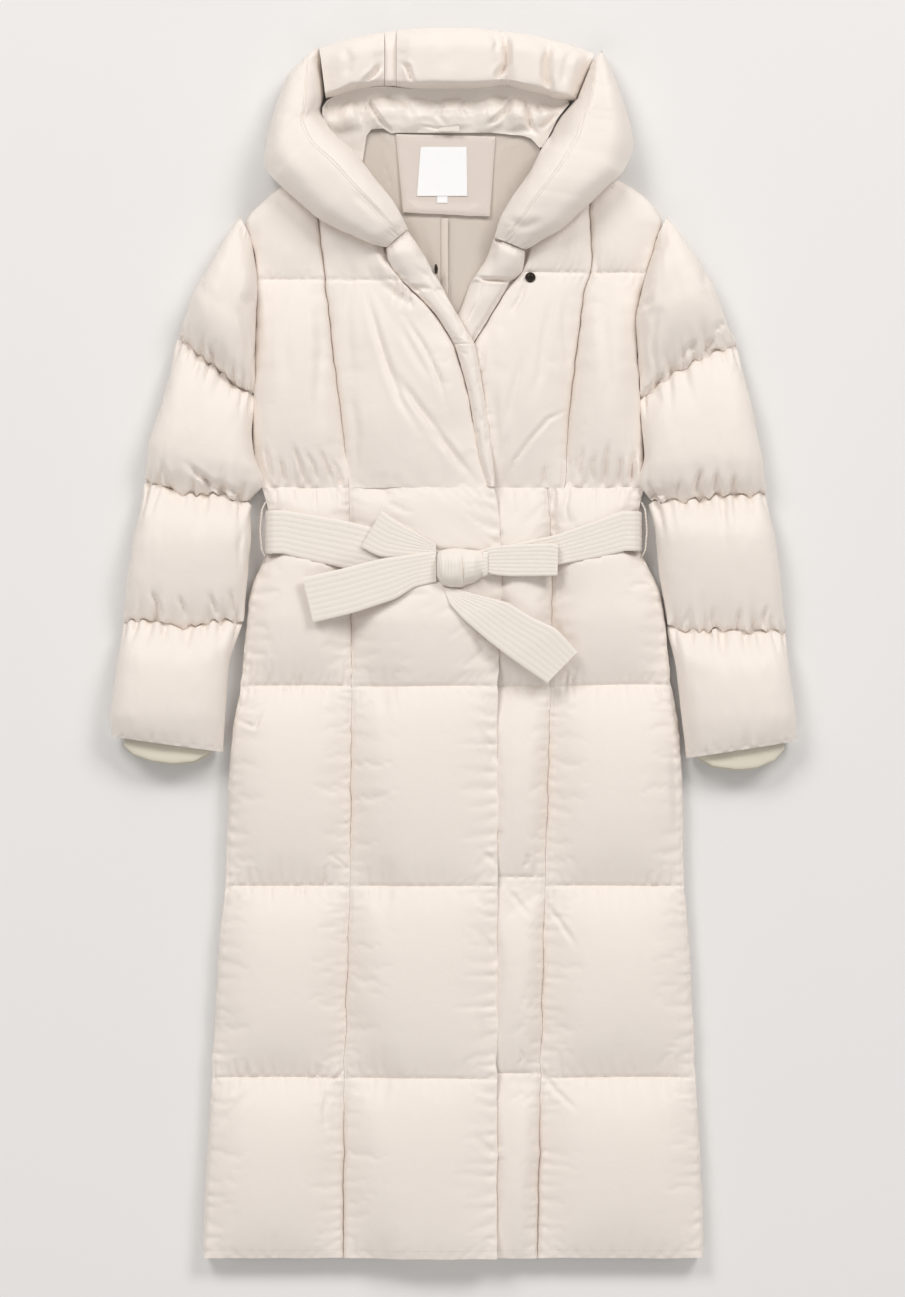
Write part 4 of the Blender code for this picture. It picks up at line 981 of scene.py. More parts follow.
for node, quilt in sleeves.items():
    points = crisp(quilt, refined(quilt, rows=False), 1.4, 10.0, 23.0, 1)
    folds = [(path, wide, deep * deeper, ridge * flatter)
             for path, wide, deep, ridge in sleeve_folds[node]]
    points = creased(points, folds, quilt.fine_tops)
    for k in quilt.line_rows[1:-1]:
        threads.sew(points[k, :quilt.fine_tops])
    threads.sew(points[-3, :quilt.fine_tops])
    mouth, mouth_mid = [], 22 * MM
    hem = points[-1]
    middle = hem.mean(0)
    # the turned-in hem: how far up the sleeve, and its size against the mouth
    for along, share in ((0.0, 0.975), (3.0, 0.95), (14.0, 0.94), (40.0, 0.93)):
        ring = middle + (hem - middle) * np.array([share, share, share * 0.8])
        ring[:, 1] += along * MM
        ring[:, 2] += (mouth_mid - middle[2]) * 0.5
        mouth.append(ring)
    padded(close_tube(node + "_padded", points, shell_cloth, mouth), node)

# ---- Hood ------------------------------------------------------------------------------------
# A deep padded hood lying open. Its rim is two long rolls, stitched along a band at the
# opening, that lie over the shoulders; between their tops runs the crown with a narrow strip.
# outer x, y, inner x, y
lobe_right = [(-194, 657, -157, 692), (-206, 622, -152.4, 664), (-217, 584, -149.6, 638),
              (-221, 554, -154, 619), (-207, 534, -143, 592), (-188, 516, -115, 568),
              (-157, 489, -93, 540), (-129, 474, -70, 511), (-100, 462, -59, 491),
              (-77, 457, -53, 477)]
lobe_left = [(173, 687, 161, 676), (186, 658, 151, 650), (196, 632, 141, 628),
             (207, 598, 121, 608), (209, 571, 112, 589), (195, 541, 102, 571),
             (177, 525, 86, 541), (156, 504, 69, 517), (126, 477, 53, 490), (82, 454, 47, 468)]
crown_right = [(-155.6, 691, -148, 631), (-120, 701, -118, 641), (-95, 706, -96, 645),
               (-80, 709, -80, 646)]
crown_strip = [(-79.6, 709, -79.6, 646), (-66.4, 711, -66.4, 645)]
crown_left = [(-66, 711, -66, 645), (-50, 713, -50, 643), (-27, 714, -27, 643),
              (19, 714, 19, 643), (45, 711, 45, 645), (57, 709, 59, 648), (70, 708, 71, 645),
              (92, 705, 92, 640), (108, 701, 110, 636), (122, 698, 117, 632),
              (143, 692, 129, 630), (163, 683, 142, 629)]


def square_up(quilt, outer, inner):
    """Fills a tube's top out, so that it is flatter above and steeper at its sides."""
    top, share = quilt.points[:, :quilt.tops], 0.9
    across = np.linalg.norm(top[:, :, :2] - top[:, :1, :2], axis=2)
    f = across / across[:, -1:]
    base = quilt.points[:, quilt.tops:, 2].min(1, keepdims=True)
    crest = top[:, :, 2].max(1, keepdims=True)
    power = np.where(f < 0.5, outer, inner)
    full = base + (crest - base) * np.maximum(1 - np.abs(2 * f - 1) ** power, 0) ** 0.5
    raised = top[:, :, 2] * (1 - share) + full * share
    top[:, 1:-1, 2] = np.maximum(top[:, :, 2], raised)[:, 1:-1]


def stand_up(quilt, bulge):
    """Takes a tube's sides in, to stand no further out than this past its top's edges."""
    start, end = quilt.points[:, :1, :2], quilt.points[:, quilt.tops - 1:quilt.tops, :2]
    long = np.linalg.norm(end - start, axis=2, keepdims=True)
    way = (end - start) / long
    low = quilt.points[:, quilt.tops:, :2]
    along = ((low - start) * way).sum(2, keepdims=True)
    low += way * (np.clip(along, -bulge, long + bulge) - along)


hood = {}
back_high = 18 * MM    # how high the coat's back lies
# gathers at both ends of a roll, and beside the line along its top
rim_ends, rim_line = ((1.5, 12, 12), (2.5, 11, 16)), (0.8, 15, 9)
for node, table, cell, ends, line in (
        ("hood_rim_right", lobe_right, 3.6, rim_ends, rim_line),
        ("hood_rim_left", lobe_left, 3.6, rim_ends, rim_line),
        ("hood_crown_right", crown_right, 3.2, ((1.2, 16, 12), (2.0, 13, 14)), (0, 0, 0)),
        ("hood_crown_strip", crown_strip, 2.4, ((1.0, 9, 6), (1.0, 9, 6)), (0, 0, 0)),
        ("hood_crown_left", crown_left, 3.2, ((2.0, 13, 14), (1.2, 14, 12)), (0, 0, 0))):
    rows = [(k, *station, 0) for k, station in enumerate(table)]
    splits, groove, foot = ((0.0, 0.70, 1.0), 0.8, 30) if "rim" in node else ((0.0, 1.0), 0.0, 16)
    quilt = tube([node], rows, [0, len(rows) - 1], cell * MM, splits, groove * MM,
                 seed=len(node), foot=foot * MM)
    square_up(quilt, 2.6, 11.0 if "crown" in node else 2.6)
    quilt.gather(ends, [(0, 0, 0), line], len(node))
    quilt.crumple(0.8 * MM, 18 * MM, 18 * MM, 7.0)
    hood[node] = quilt
fill(list(hood.values()), pressure=10.0, rise=6 * MM)
for node, quilt in hood.items():
    square_up(quilt, 3.6 if "rim" in node else 3.0, 24.0 if "crown" in node else 2.6)
    stand_up(quilt, 3.0 * MM)
    if "crown" in node:    # its own weight flattens it
        quilt.points[:, :, 2] = back_high + (quilt.points[:, :, 2] - back_high) * 0.84
hood_folds = {
    "hood_crown_right": [
        ([(-84, 667), (-92, 656), (-106, 644)], 3.0, 7.0, 2.5),
        ([(-126, 690), (-120, 670), (-124, 650)], 6.0, 2.5, 1.2)],
    "hood_crown_left": [
        ([(-60, 668), (-53, 664), (-47, 644)], 2.6, 6.0, 2.2),
        ([(59, 706), (62, 690), (62, 668), (51, 654), (56, 646)], 3.6, 8.0, 3.0),
        ([(44, 708), (50, 694), (48, 680)], 3.0, 3.0, 1.5),
        ([(111, 690), (106, 668), (106, 652), (114, 634)], 4.0, 7.0, 2.6),
        ([(140, 690), (130, 668), (126, 640)], 5.0, 3.0, 1.6),
        ([(-10, 706), (-4, 680), (-12, 656)], 10.0, 1.6, 0.8)],
    "hood_rim_right": [
        ([(-160, 676), (-150, 655), (-148, 632), (-152, 612)], 3.2, 6.0, 2.0),
        ([(-118, 520), (-96, 500), (-78, 482)], 5.0, 2.0, 1.0),
        ([(-210, 560), (-196, 540), (-170, 515)], 9.0, 1.8, 0.8)],
    "hood_rim_left": [
        ([(118, 604), (108, 594), (98, 584)], 2.6, 3.4, 1.4),
        ([(104, 578), (92, 566), (84, 556)], 2.6, 3.0, 1.2),
        ([(132, 640), (124, 628), (112, 616)], 2.8, 2.6, 1.2),
        ([(60, 490), (78, 478), (108, 486)], 5.0, 2.0, 1.0)]}
for node, quilt in hood.items():
    points = creased(refined(quilt), hood_folds.get(node, []), quilt.fine_tops)
    if "rim" in node:
        # the roll tapers into the crown, and its underside runs even
        for row, share in enumerate((0.74, 0.83, 0.90, 0.95, 0.98)):
            points[row, :, 2] *= share
        for column in range(quilt.fine_tops, points.shape[1]):
            points[:, column, 2] = eased(points[:, column, 2], 4.0)
        # two rows of stitches hold the band along its opening
        line = 2 * quilt.line_columns[1]
        for column in (line, line - 4):
            points[3:-2, column, 2] -= 0.8 * MM
            threads.sew(points[4:-3, column])
    padded(close_tube(node + "_padded", points, shell_cloth), node)

# ---- Belt ------------------------------------------------------------------------------------
# One long strip of the shell cloth, doubled and stitched along into eight flat channels. It
# goes round the waist under two thread loops and is tied in front.
belt_cloth = cloth("belt_nylon", (0.865, 0.80, 0.735), (0.84, 0.77, 0.70), 0.55, 0.1,
                   0.35 * MM, 0.02 * MM, (9 * MM, 0.25 * MM))


def layer(name, grid, below, material):
    """A closed layer of cloth between two grids of points."""
    rows, columns, _ = grid.shape
    points = [tuple(p) for p in grid.reshape(-1, 3)] + [tuple(p) for p in below.reshape(-1, 3)]
    half = rows * columns
    faces = []
    for j in range(rows - 1):
        for i in range(columns - 1):
            a, b = j * columns + i, (j + 1) * columns + i
            faces += [(a, a + 1, b + 1, b), (half + a, half + b, half + b + 1, half + a + 1)]
    for i in range(columns - 1):
        for a in (i, (rows - 1) * columns + i):
            faces.append((a, a + 1, half + a + 1, half + a))
    for j in range(rows - 1):
        for a in (j * columns, (j + 1) * columns - 1):
            faces.append((a, a + columns, half + a + columns, half + a))
    return add_piece(name, points, faces, material)


def band(name, stations, thick, turn, seed):
    """A length of belt: stations are upper x, y, lower x, y and underside z, in mm.

    turn is the way its outer end goes round the waist: x, z and angle.
    """
    channels = 8
    rows = [(k, *row, 0.0) for k, row in enumerate(stations)]
    side = -1.0 if stations[0][0] < 0 else 1.0
    long = sum(math.dist(a[:2], b[:2]) for a, b in zip(stations, stations[1:]))
    times = np.linspace(0, len(stations) - 1, max(12, round(long / 2.5)))
    sections = list(zip(*stations_at(rows, times, 2.0)))
    if turn:
        places = np.linspace(0, len(turn) - 1, 22)
        way = stations_at([(k, *row) for k, row in enumerate(turn)], places, 1.0)
        top, low = sections[0][1], sections[0][3]
        for x, z, angle in zip(*way):
            sections.insert(0, (side * x, top, side * x, low, z, side * angle))
    steps = channels * 6
    upper, lower = np.zeros((2, len(sections), steps + 1, 3))
    for j, (ax, ay, bx, by, z, tilt) in enumerate(sections):
        out = np.array([math.sin(math.radians(tilt)), 0.0, math.cos(math.radians(tilt))])
        for i in range(steps + 1):
            f = i / steps
            c = f * channels % 1.0
            rib = 0.4 * math.sin(math.pi * c) ** 0.45 if 0 < c < 1 else 0.0
            rib *= 1.0 + 0.35 * ripple(0.15 * j, 3 * int(f * channels), seed)
            edge = min(f, 1 - f) * steps
            body = thick - 0.3 + rib - 0.9 * math.exp(-edge / 1.5)
            ground = np.array([ax + (bx - ax) * f, ay + (by - ay) * f, z])
            upper[j, i] = (ground + out * body) * MM
            lower[j, i] = ground * MM
    for c in range(1, channels):
        threads.sew(upper[:, 6 * c], 3.4 * MM, 2.4 * MM, 0.45 * MM)
    return layer(name, upper, lower, belt_cloth)


# heights of the belt's underside: on the coat, on its own run, and on the skirt's puffs
on_coat, on_run, on_skirt = 36.3, 41.4, 50.8
run_right = [(-196, 153, -197, 103, on_coat), (-178, 150, -178, 98, on_coat),
             (-125, 141, -128, 86, on_coat), (-76, 128, -79, 77, on_coat),
             (-19, 107, -19, 71, on_coat), (6, 102, 6, 72, on_coat)]
run_left = [(196, 152, 199, 106, on_coat), (160, 139, 165, 98, on_coat),
            (117, 124, 122, 90, on_coat), (34, 107, 34, 76, on_coat),
            (6.6, 102, 6.6, 72, on_coat)]
run_turn = [(200, on_coat, 8), (208, 34.6, 28), (213.5, 29.5, 60), (215.4, 22, 88),
            (215.6, 6, 90)]
tail_right = [(-20, 106, -20, 70, on_run), (-45, 102, -45, 64, 44.5), (-83, 97, -67, 50, 48.5),
              (-129, 85, -119, 33, on_skirt), (-174, 75, -162, 23, on_skirt)]
end_right = [(-20, 114, -20, 101, on_run), (-50, 131, -56, 97, on_run),
             (-70, 143, -84, 98, on_run), (-83, 152, -107, 110, on_run)]
bow_left = [(34.5, 107, 34.5, 82, on_run), (46, 112, 46, 78, on_run), (117, 115, 66, 76, on_run),
            (121, 112, 120, 77, on_run)]
tail_left = [(4, 62.4, -12, 63.4, on_run), (20, 57, -4, 43, 47), (61, 47, 12, 26, on_skirt),
             (92, 28, 40, 2, on_skirt), (119, 16, 66, -18, on_skirt), (143, -11, 108, -47, 47)]
low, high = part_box("belt_back")
back_run = [(x, high.y / MM, x, low.y / MM, low.z / MM)
            for x in np.linspace(low.x / MM, high.x / MM, 9)]
for node, stations, turn, size in (
        ("belt_back", back_run, (), (0.438, 0.056)),
        ("belt_run_right", run_right, run_turn, (0.252, 0.050)),
        ("belt_run_left", run_left, run_turn, (0.240, 0.044)),
        ("belt_tail_right", tail_right, (), (0.158, 0.049)),
        ("belt_end_right", end_right, (), (0.095, 0.033)),
        ("belt_bow_left", bow_left, (), (0.092, 0.040)),
        ("belt_tail_left", tail_left, (), (0.168, 0.045))):
    thick = 6.5 if "bow" in node else 3.2    # the bow is a loop, two lengths on each other
    piece = band(node + "_band", stations, thick, turn, len(node))
    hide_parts(node)
    ([] if node == "belt_back" else
             ["right_skirt_centre_padded"])

# stations of the knot: x, top y, bottom y, height of its crest
knot_rows = [(-19.5, 101, 78, 47), (-18.5, 104, 74, 55), (-14, 107, 67, 60), (-4, 109, 63, 63),
             (6, 109, 63, 64), (11, 108.5, 64, 61), (14, 108, 66, 60.5), (24, 107, 69, 59),
             (31, 106, 74, 54), (35, 105, 76, 52), (39.5, 104, 78, 50.5)]
rows = np.array(knot_rows, float)
knot_bed, bow_bed, bow_from = 41.2, 48.6, 33.9    # its last turn lies on the bow
wrap_end = 11.5                                   # where the turn round it meets the loop
points = []
for x in np.linspace(rows[0, 0], rows[-1, 0], 96):
    top, low, crest = (np.interp(x, rows[:, 0], rows[:, k]) for k in (1, 2, 3))
    ground = knot_bed if x < bow_from else bow_bed
    wrapped = x < wrap_end
    ring = []
    for k in range(33):
        f = k / 32
        round_off = (1 - abs(2 * f - 1) ** 2.6) ** 0.6
        rib = abs(math.sin(math.pi * (x + 1.2 * ripple(3 * f, 1, 4)) / 3.6))
        if not wrapped:
            rib = abs(math.sin(math.pi * 7 * (f + 0.01 * ripple(x / 9, 2, 5)))) * 0.8
        high = (crest - ground) * round_off + 0.6 * rib * round_off
        crease = math.exp(-((x - wrap_end) / 0.9) ** 2) * min(1.0, 0.1 + 1.1 * f)
        sway = 1.2 * math.sin(math.pi * f) * ripple(x / 14, 2 * f, 3)
        ring.append((x * MM, (top + (low - top) * f) * MM,
                     (ground + high * (1 - 0.16 * crease) + sway * (f * (1 - f) * 4)) * MM))
    for k in (3, 2, 1):
        f = k / 4
        ring.append((x * MM, (top + (low - top) * f) * MM, (ground - 0.2) * MM))
    points.append(ring)
knot = close_tube("belt_knot_wrap", np.array(points), belt_cloth)
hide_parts("belt_knot")

# thread loops, chained, that carry the belt at the side seams: x and y down one of them
loop_path = [(0, 218.3, 163), (1, 222.6, 154), (2, 224.6, 130), (3, 222.6, 107), (4, 218.8, 100)]
for node, side in (("belt_loop_left", 1), ("belt_loop_right", -1)):
    path = stations_at(loop_path, np.linspace(0, 4, 110), 3.0)
    rings = []
    for n, (x, y) in enumerate(zip(*path)):
        chain = abs(math.sin(math.pi * n / 5))
        ring = []
        for k in range(8):
            turn = 2 * math.pi * k / 8
            size = 0.75 + 0.45 * chain
            ring.append((side * (x + size * math.cos(turn)) * MM, y * MM,
                         (20.0 + 1.25 * size * math.sin(turn)) * MM))
        rings.append(ring)
    loop = close_tube(node + "_thread", np.array(rings), belt_cloth)
    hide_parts(node)

# ---- Inner cuffs -----------------------------------------------------------------------------
# A tube of fine ribbed knitting inside each sleeve's mouth, flattened, that shows a little
# below the hem. It is sewn in further up, out of sight.
knit = cloth("cuff_knit", (0.735, 0.685, 0.575), (0.69, 0.64, 0.525), 0.8, 0.1, 0.8 * MM,
             0.05 * MM, (9 * MM, 0.2 * MM))
for node, edge in (
        ("inner_cuff_right", [(-383, -119), (-371, -129), (-350, -136.5), (-325, -140),
                              (-300, -137.5), (-281, -127)]),
        ("inner_cuff_left", [(283.5, -133), (300, -143), (330, -147), (352, -144.5),
                             (372, -136), (385, -122)])):
    edge = np.array(edge, float)
    out = edge[0, 0] if node.endswith("right") else edge[-1, 0]
    middle, half = (edge[0, 0] + edge[-1, 0]) / 2, (edge[-1, 0] - edge[0, 0]) / 2
    rings = []
    round_it, rib_count = 96, 48
    # how far up from the edge, how far inside the outer face
    for up, inside in ((50, 0), (38, 0), (26, 0), (16, 0), (8, 0), (4, 0), (1.2, 0.3), (0, 1.1),
                       (1.2, 1.9), (4, 2.2), (16, 2.2), (50, 2.2)):
        ring = []
        for k in range(round_it):
            turn = 2 * math.pi * k / round_it
            c, s = math.cos(turn), math.sin(turn)
            wide = abs(c) ** 0.8 * math.copysign(1, c) * (half - inside - 0.04 * up)
            rib = 0.25 * math.sin(rib_count * turn) if inside < 1 else 0.0
            high = abs(s) ** 0.75 * math.copysign(1, s) * (12.2 - inside + rib)
            x = middle + wide
            y = np.interp(x, edge[:, 0], edge[:, 1]) + up - (2.5 if s < 0 else 0.0)
            sag = 2.0 * ripple(x / 30, up / 40, 6) if s > 0 else 0.0
            ring.append(((x - math.copysign(0.13, out) * up) * MM, y * MM,
                         (23.0 + high - max(sag, 0) * min(1, up / 8)) * MM))
        rings.append(ring)
    flat = [point for ring in rings for point in ring]
    faces = [tuple(k % len(flat) for k in face)    # the last ring joins the first
             for face in grid_faces(len(rings) + 1, round_it, around=True)]
    cuff = add_piece(node + "_knit", flat, faces, knit)
    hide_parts(node)
    "sleeve" + node[10:] + "_padded"

# ---- Back ------------------------------------------------------------------------------------
# The padded back lies flat on the table under the fronts. It is quilted at the fronts' heights,
# and only the puffs along its edges show.

# the edge's outline: how far out, in mm, and its share of the back's height
back_edge = ((-1.5, 1.0), (0.0, 0.86), (1.2, 0.58), (0.4, 0.28), (-4.0, 0.07), (-12.0, 0.0))
for node, lines in (("back_skirt", quilt_lines), ("back_bodice", [WAIST, YOKE])):
    tree = search_tree(node)
    low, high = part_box(node)
    rows = np.linspace(low.y, high.y, round((high.y - low.y) / (5 * MM)) + 1)
    left, right = side_edges(node, rows)
    left, right = eased(left, 1.5), eased(right, 1.5)
    rings = []
    for j, y in enumerate(rows):
        near = min(abs(y - line) for line in lines)
        pinch = math.exp(-(near / (8 * MM)) ** 2) * 2.5 * MM
        end = 0.0 if 0 < j < len(rows) - 1 else 0.16
        span = right[j] - left[j]
        ring = []
        for side, x, order in ((-1, left[j], 1), (1, right[j], -1)):
            for out, share in back_edge[::order]:
                out = (out * MM - pinch * (share < 0.95) + 0.6 * MM * ripple(90 * y, side, 1))
                if abs(out) > span / 3:
                    out = -span / 3
                share = end + (1 - 2 * end) * share
                ring.append((x + side * out, y, share * back_high))
            if side == -1:
                for k in range(1, 12):
                    f = k / 12
                    x_mid = left[j] + span * f
                    z = tree.ray_cast(Vector((x_mid, min(max(y, low.y + 1e-4), high.y - 1e-4),
                                              -1)), Vector((0, 0, 1)))[0]
                    ring.append((x_mid, y, max(z.z if z else 0.0, end * back_high)))
        rings.append(ring)
    padded(close_tube(node + "_padded", np.array(rings), shell_cloth), node, share=0.4)


def grid_between(table, cell):
    """Points in rows between a lower and an upper edge, given as x, lower y, upper y in mm."""
    table = np.array(table, float)
    across = max(4, round((table[-1, 0] - table[0, 0]) / cell))
    xs = np.linspace(table[0, 0], table[-1, 0], across + 1)
    lower, upper = np.interp(xs, *table[:, :2].T), np.interp(xs, table[:, 0], table[:, 2])
    up = max(3, round((upper - lower).max() / cell))
    grid = np.zeros((up + 1, across + 1, 3))
    for j in range(up + 1):
        grid[j, :, 0] = xs
        grid[j, :, 1] = lower + (upper - lower) * j / up
    return grid * MM


hood_back = grid_between([(-150, 612, 622), (-141, 592, 630), (-120, 576, 636), (-112, 580, 637),
                          (-104, 591, 637), (-66, 591, 639), (19, 591, 638), (59, 591, 640),
                          (90, 591, 633), (98, 573, 632), (102, 575, 631), (111, 590, 629),
                          (118, 608, 628), (123, 625, 627)], 6)
hood_back[:, :, 2] = 8.0 * MM
hood_back[1:-1, 1:-1, 2] = 9.7 * MM
piece = layer("hood_back_padded", hood_back, hood_back - (0, 0, 7.9 * MM), shell_cloth)
padded(piece, "hood_back", share=0.4)

# ---- Hood lining -----------------------------------------------------------------------------
# The inside of the hood: thin satin that bags in folds between the crown and the neck seam.
# It is cut in two halves, joined by a fine seam beside its middle.
satin = cloth("hood_satin", (0.855, 0.79, 0.73), (0.80, 0.735, 0.67), 0.38, 0.05, 0.3 * MM,
              0.01 * MM, (9 * MM, 0.7 * MM))
# x, lower y, upper y of what shows of it
lining_edges = [(-152, 611, 620), (-147, 600, 629), (-141, 590, 633), (-128, 577, 640),
                (-116, 560, 641.5), (-110, 554, 642), (-106, 554.5, 643), (-103, 572, 643.5),
                (-101, 588, 644), (-95, 595, 644.5), (-81, 596, 645.5), (-72, 590.6, 645),
                (-68, 591.4, 644.6), (-50, 591.4, 642.6), (44, 591.4, 644), (59, 590, 647),
                (66, 589, 645), (80, 588, 642), (90, 584.5, 640), (95, 579, 639.5),
                (100, 573.5, 638), (104, 575, 637), (112, 590, 634), (121, 608, 631.5),
                (134, 624, 629)]
grid = grid_between(lining_edges, 1.9)
lining_middle, corner_from = (-10 * MM, 615 * MM), 588 * MM
tree = search_tree("hood_lining", "hood_lining_corner")
for j, i in np.ndindex(grid.shape[:2]):
    x, y, _ = grid[j, i]
    z = height_on(tree, x, y, lining_middle, 1)
    if y < corner_from:    # its two corners hang down beside the neck
        z = (22.6 if x < 0 else 24.0) * MM
    crinkle = 2.4 * (0.5 - abs(ripple(26 * x + 18 * y, 45 * y - 16 * x, 3)))
    crinkle += 1.3 * (0.5 - abs(ripple(60 * x, 75 * y + 30 * x, 9)))
    grid[j, i, 2] = z + crinkle * MM
for _ in range(10):
    inner = grid[1:-1, 1:-1, 2]
    mean = (grid[:-2, 1:-1, 2] + grid[2:, 1:-1, 2] + grid[1:-1, :-2, 2] + grid[1:-1, 2:, 2]) / 4
    inner += 0.35 * (mean - inner)
creased(grid, [
    ([(-106, 638), (-96, 622), (-84, 604), (-73, 592)], 2.6, 6.0, 2.5),
    ([(-118, 636), (-112, 618), (-104, 600)], 3.0, 2.5, 1.0),
    ([(70, 640), (67, 628), (60, 616), (47, 604), (36, 598)], 3.0, 5.0, 2.2),
    ([(85, 636), (86, 616), (88, 602), (94, 592)], 2.6, 6.0, 2.5),
    ([(100, 631), (98, 620), (100, 610)], 2.2, 3.0, 1.2),
    ([(34.5, 638), (36, 622), (40, 600)], 0.8, 0.9, 0.2),
    ([(-62, 634), (-50, 618), (-47, 603)], 3.4, 2.0, 1.2),
    ([(-22, 637), (-14, 624), (-18, 610), (-6, 598)], 3.0, 2.0, 1.2),
    ([(14, 636), (8, 620), (16, 606)], 2.6, 1.8, 1.0),
    ([(-40, 600), (-20, 596), (4, 594)], 1.6, 1.6, 0.8)])
grid[:, :, 2] = np.clip(grid[:, :, 2], 21.4 * MM, 41 * MM)
piece = layer("hood_lining_satin", grid, grid - (0, 0, 0.6 * MM), satin)
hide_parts("hood_lining", "hood_lining_corner")

loop = grid_between([(-17.5, 593.5, 595), (-16, 593, 596.5), (5, 592.4, 598.4),
                     (6.6, 592, 597.6)], 1.6)
loop[:, :, 2] = 33 * MM + 1.2 * MM * np.sin(loop[:, :, 0] * 130)
piece = layer("hanging_loop_satin", loop, loop - (0, 0, 0.6 * MM), satin)

# ---- Body lining -----------------------------------------------------------------------------
# The back's darker lining, seen down the neck: an ironed centre pleat, its raised fold painted
# lighter where light falls on it, the neck patch of shell cloth with a plain white label and
# size tab, and the hanging loop sewn in above it.
taupe = cloth("lining_taupe", (0.66, 0.59, 0.525), (0.62, 0.55, 0.48), 0.45, 0.05,
              0.3 * MM, 0.01 * MM, (22 * MM, 0.5 * MM))
# y, left x and right x of what the neck shows of it
neck_rows = [(332, -20, -12), (345, -23, 2), (381, -34, 20), (409, -56, 33), (458, -92, 70),
             (516, -106, 98), (552, -110, 103), (590, -103, 98), (597, -103, 92)]
patch_left, patch_right, patch_low = -61, 45, 490    # the patch holds it smooth
ys = np.linspace(neck_rows[0][0], neck_rows[-1][0], 90)
left, right = stations_at(neck_rows, ys, 1.5)
grid = np.zeros((len(ys), 70, 3))
for j, y in enumerate(ys):
    grid[j, :, 0] = np.linspace(left[j], right[j], 70)
    grid[j, :, 1] = y
    for i, x in enumerate(grid[j, :, 0]):
        beside = max(patch_left - x, x - patch_right)
        free = 1.0 if y < patch_low else min(1.0, max(0.0, beside / 6))
        grid[j, i, 2] = 20.2 + free * (0.6 * ripple(x / 18, y / 60, 2) + 0.3)
grid *= MM
creased(grid, [
    ([(-86, 577), (-81, 558), (-75, 538), (-70, 520)], 1.5, 1.7, 1.4),
    ([(-104, 586), (-94, 592), (-83, 592), (-74, 581), (-68, 570)], 1.2, -1.3, 0.5),
    ([(67, 586), (56, 570), (50, 556), (48, 540)], 1.2, -1.4, 0.5),
    ([(73, 584), (62, 568), (56, 552)], 1.2, -1.0, 0.5),
    ([(60, 530), (70, 512), (62, 498)], 3.0, 1.0, 0.6),
    ([(-2.5, 492), (-3.5, 430), (-4, 372)], 1.1, 1.0, 0.2),
    ([(-40, 486), (-28, 440), (-22, 400)], 4.0, 0.8, 0.5),
    ([(24, 486), (16, 440), (8, 400)], 5.0, 0.8, 0.5)])
grid[:, :, 2] = np.maximum(grid[:, :, 2], 18.8 * MM)
lining_thick = (0, 0, 0.4 * MM)
piece = layer("back_lining_cloth", grid, grid - lining_thick, taupe)
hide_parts("back_lining")

pleat_top, pleat_long = 492.3, 126
pleat = np.zeros((64, 8, 3))
for j, i in np.ndindex(64, 8):
    y = pleat_top - pleat_long * j / 63
    x = -15 + 8.5 * i / 7 + 0.5 * ripple(y / 25, 1, 2)
    pleat[j, i] = (x, y, 21.0 + 3.6 * (i / 7) ** 0.6 * (1 - 0.1 * (i == 7)))
pleat *= MM
# The pleat's raised fold is the lining's own taupe painted lighter: painted light where the lamps
# fall on the fold.
lit_pleat_taupe = cloth("lining_taupe_painted_light", (0.76, 0.685, 0.61), (0.72, 0.64, 0.56), 0.45, 0.05,
                0.3 * MM, 0.01 * MM, (22 * MM, 0.3 * MM))
piece = layer("lining_pleat_fold", pleat, pleat - lining_thick, lit_pleat_taupe)
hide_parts("lining_pleat")


def point_in(corners, u, v):
    """A point u across and v down a piece, from its four corners, upper left first."""
    a, b, c, d = np.array(corners, float)
    return (a * (1 - u) + b * u) * (1 - v) + (d * (1 - u) + c * u) * v


patch_corners = ((-67, 590), (48.5, 587), (42, 494), (-58.5, 499))
patch_wide, patch_tall = 108, 92
patch_cloth = cloth("patch_cloth", (0.715, 0.63, 0.575), (0.685, 0.60, 0.54), 0.5, 0.1,
                    0.35 * MM, 0.01 * MM, (18 * MM, 0.4 * MM))
grid = np.zeros((60, 66, 3))
for j, i in np.ndindex(60, 66):
    u, v = i / 65, j / 59
    x, y = point_in(patch_corners, u, v)
    y += 0.7 * ripple(6 * u, 3, 1) * v
    edge = min(min(u, 1 - u) * patch_wide, min(v, 1 - v) * patch_tall)
    high = 22.6 + 1.5 * (1 - math.exp(-edge / 3.0))
    lift = 2.2 * v ** 3 + 1.2 * v * abs(2 * u - 1) ** 3
    away = min(1.0, max(0.0, (v - 0.84) / 0.1) + max(0.0, (abs(u - 0.47) - 0.3) / 0.12))
    grid[j, i] = (x, y, high + away * (lift + 0.5 * ripple(5 * u, 4 * v, 6)))
for line in (grid[2:-2, 1], grid[2:-2, -2], grid[2, 1:-1], grid[-3, 1:-1]):
    threads.sew(line * MM, 2.8 * MM, 2.0 * MM, 0.4 * MM)
# these are the coat's last stitches, so the thread is knotted off here
threads.knot_off("stitches", thread_paint)
piece = close_panel("label_patch_cloth", grid * MM, flat_under("label_patch"), patch_cloth)
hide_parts("label_patch")

white = cloth("label_white", (0.93, 0.93, 0.93), (0.91, 0.91, 0.915), 0.6, 0.05, 0.25 * MM,
              0.01 * MM, (16 * MM, 0.15 * MM))
for node, corners, down, over in (
        ("neck_label", ((-38, 575), (15, 575), (16, 518), (-42.5, 518)), 28, 26),
        ("size_tag", ((-19, 517.6), (-7, 517.6), (-7, 510), (-19, 510)), 5, 7)):
    grid = np.zeros((down, over, 3))
    for j, i in np.ndindex(down, over):
        u, v = i / (over - 1), j / (down - 1)
        x, y = point_in(corners, u, v)
        curl = 0.5 * v ** 4 + 0.15 * ripple(5 * u, 5 * v, 2) * 4 * u * (1 - u)
        grid[j, i] = (x, y, 24.75 + curl)
    grid *= MM
    piece = layer(node + "_tape", grid, grid - (0, 0, 0.35 * MM), white)
    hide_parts(node)
    wide, long = math.dist(*corners[2:]) * MM, math.dist(corners[0], corners[3]) * MM

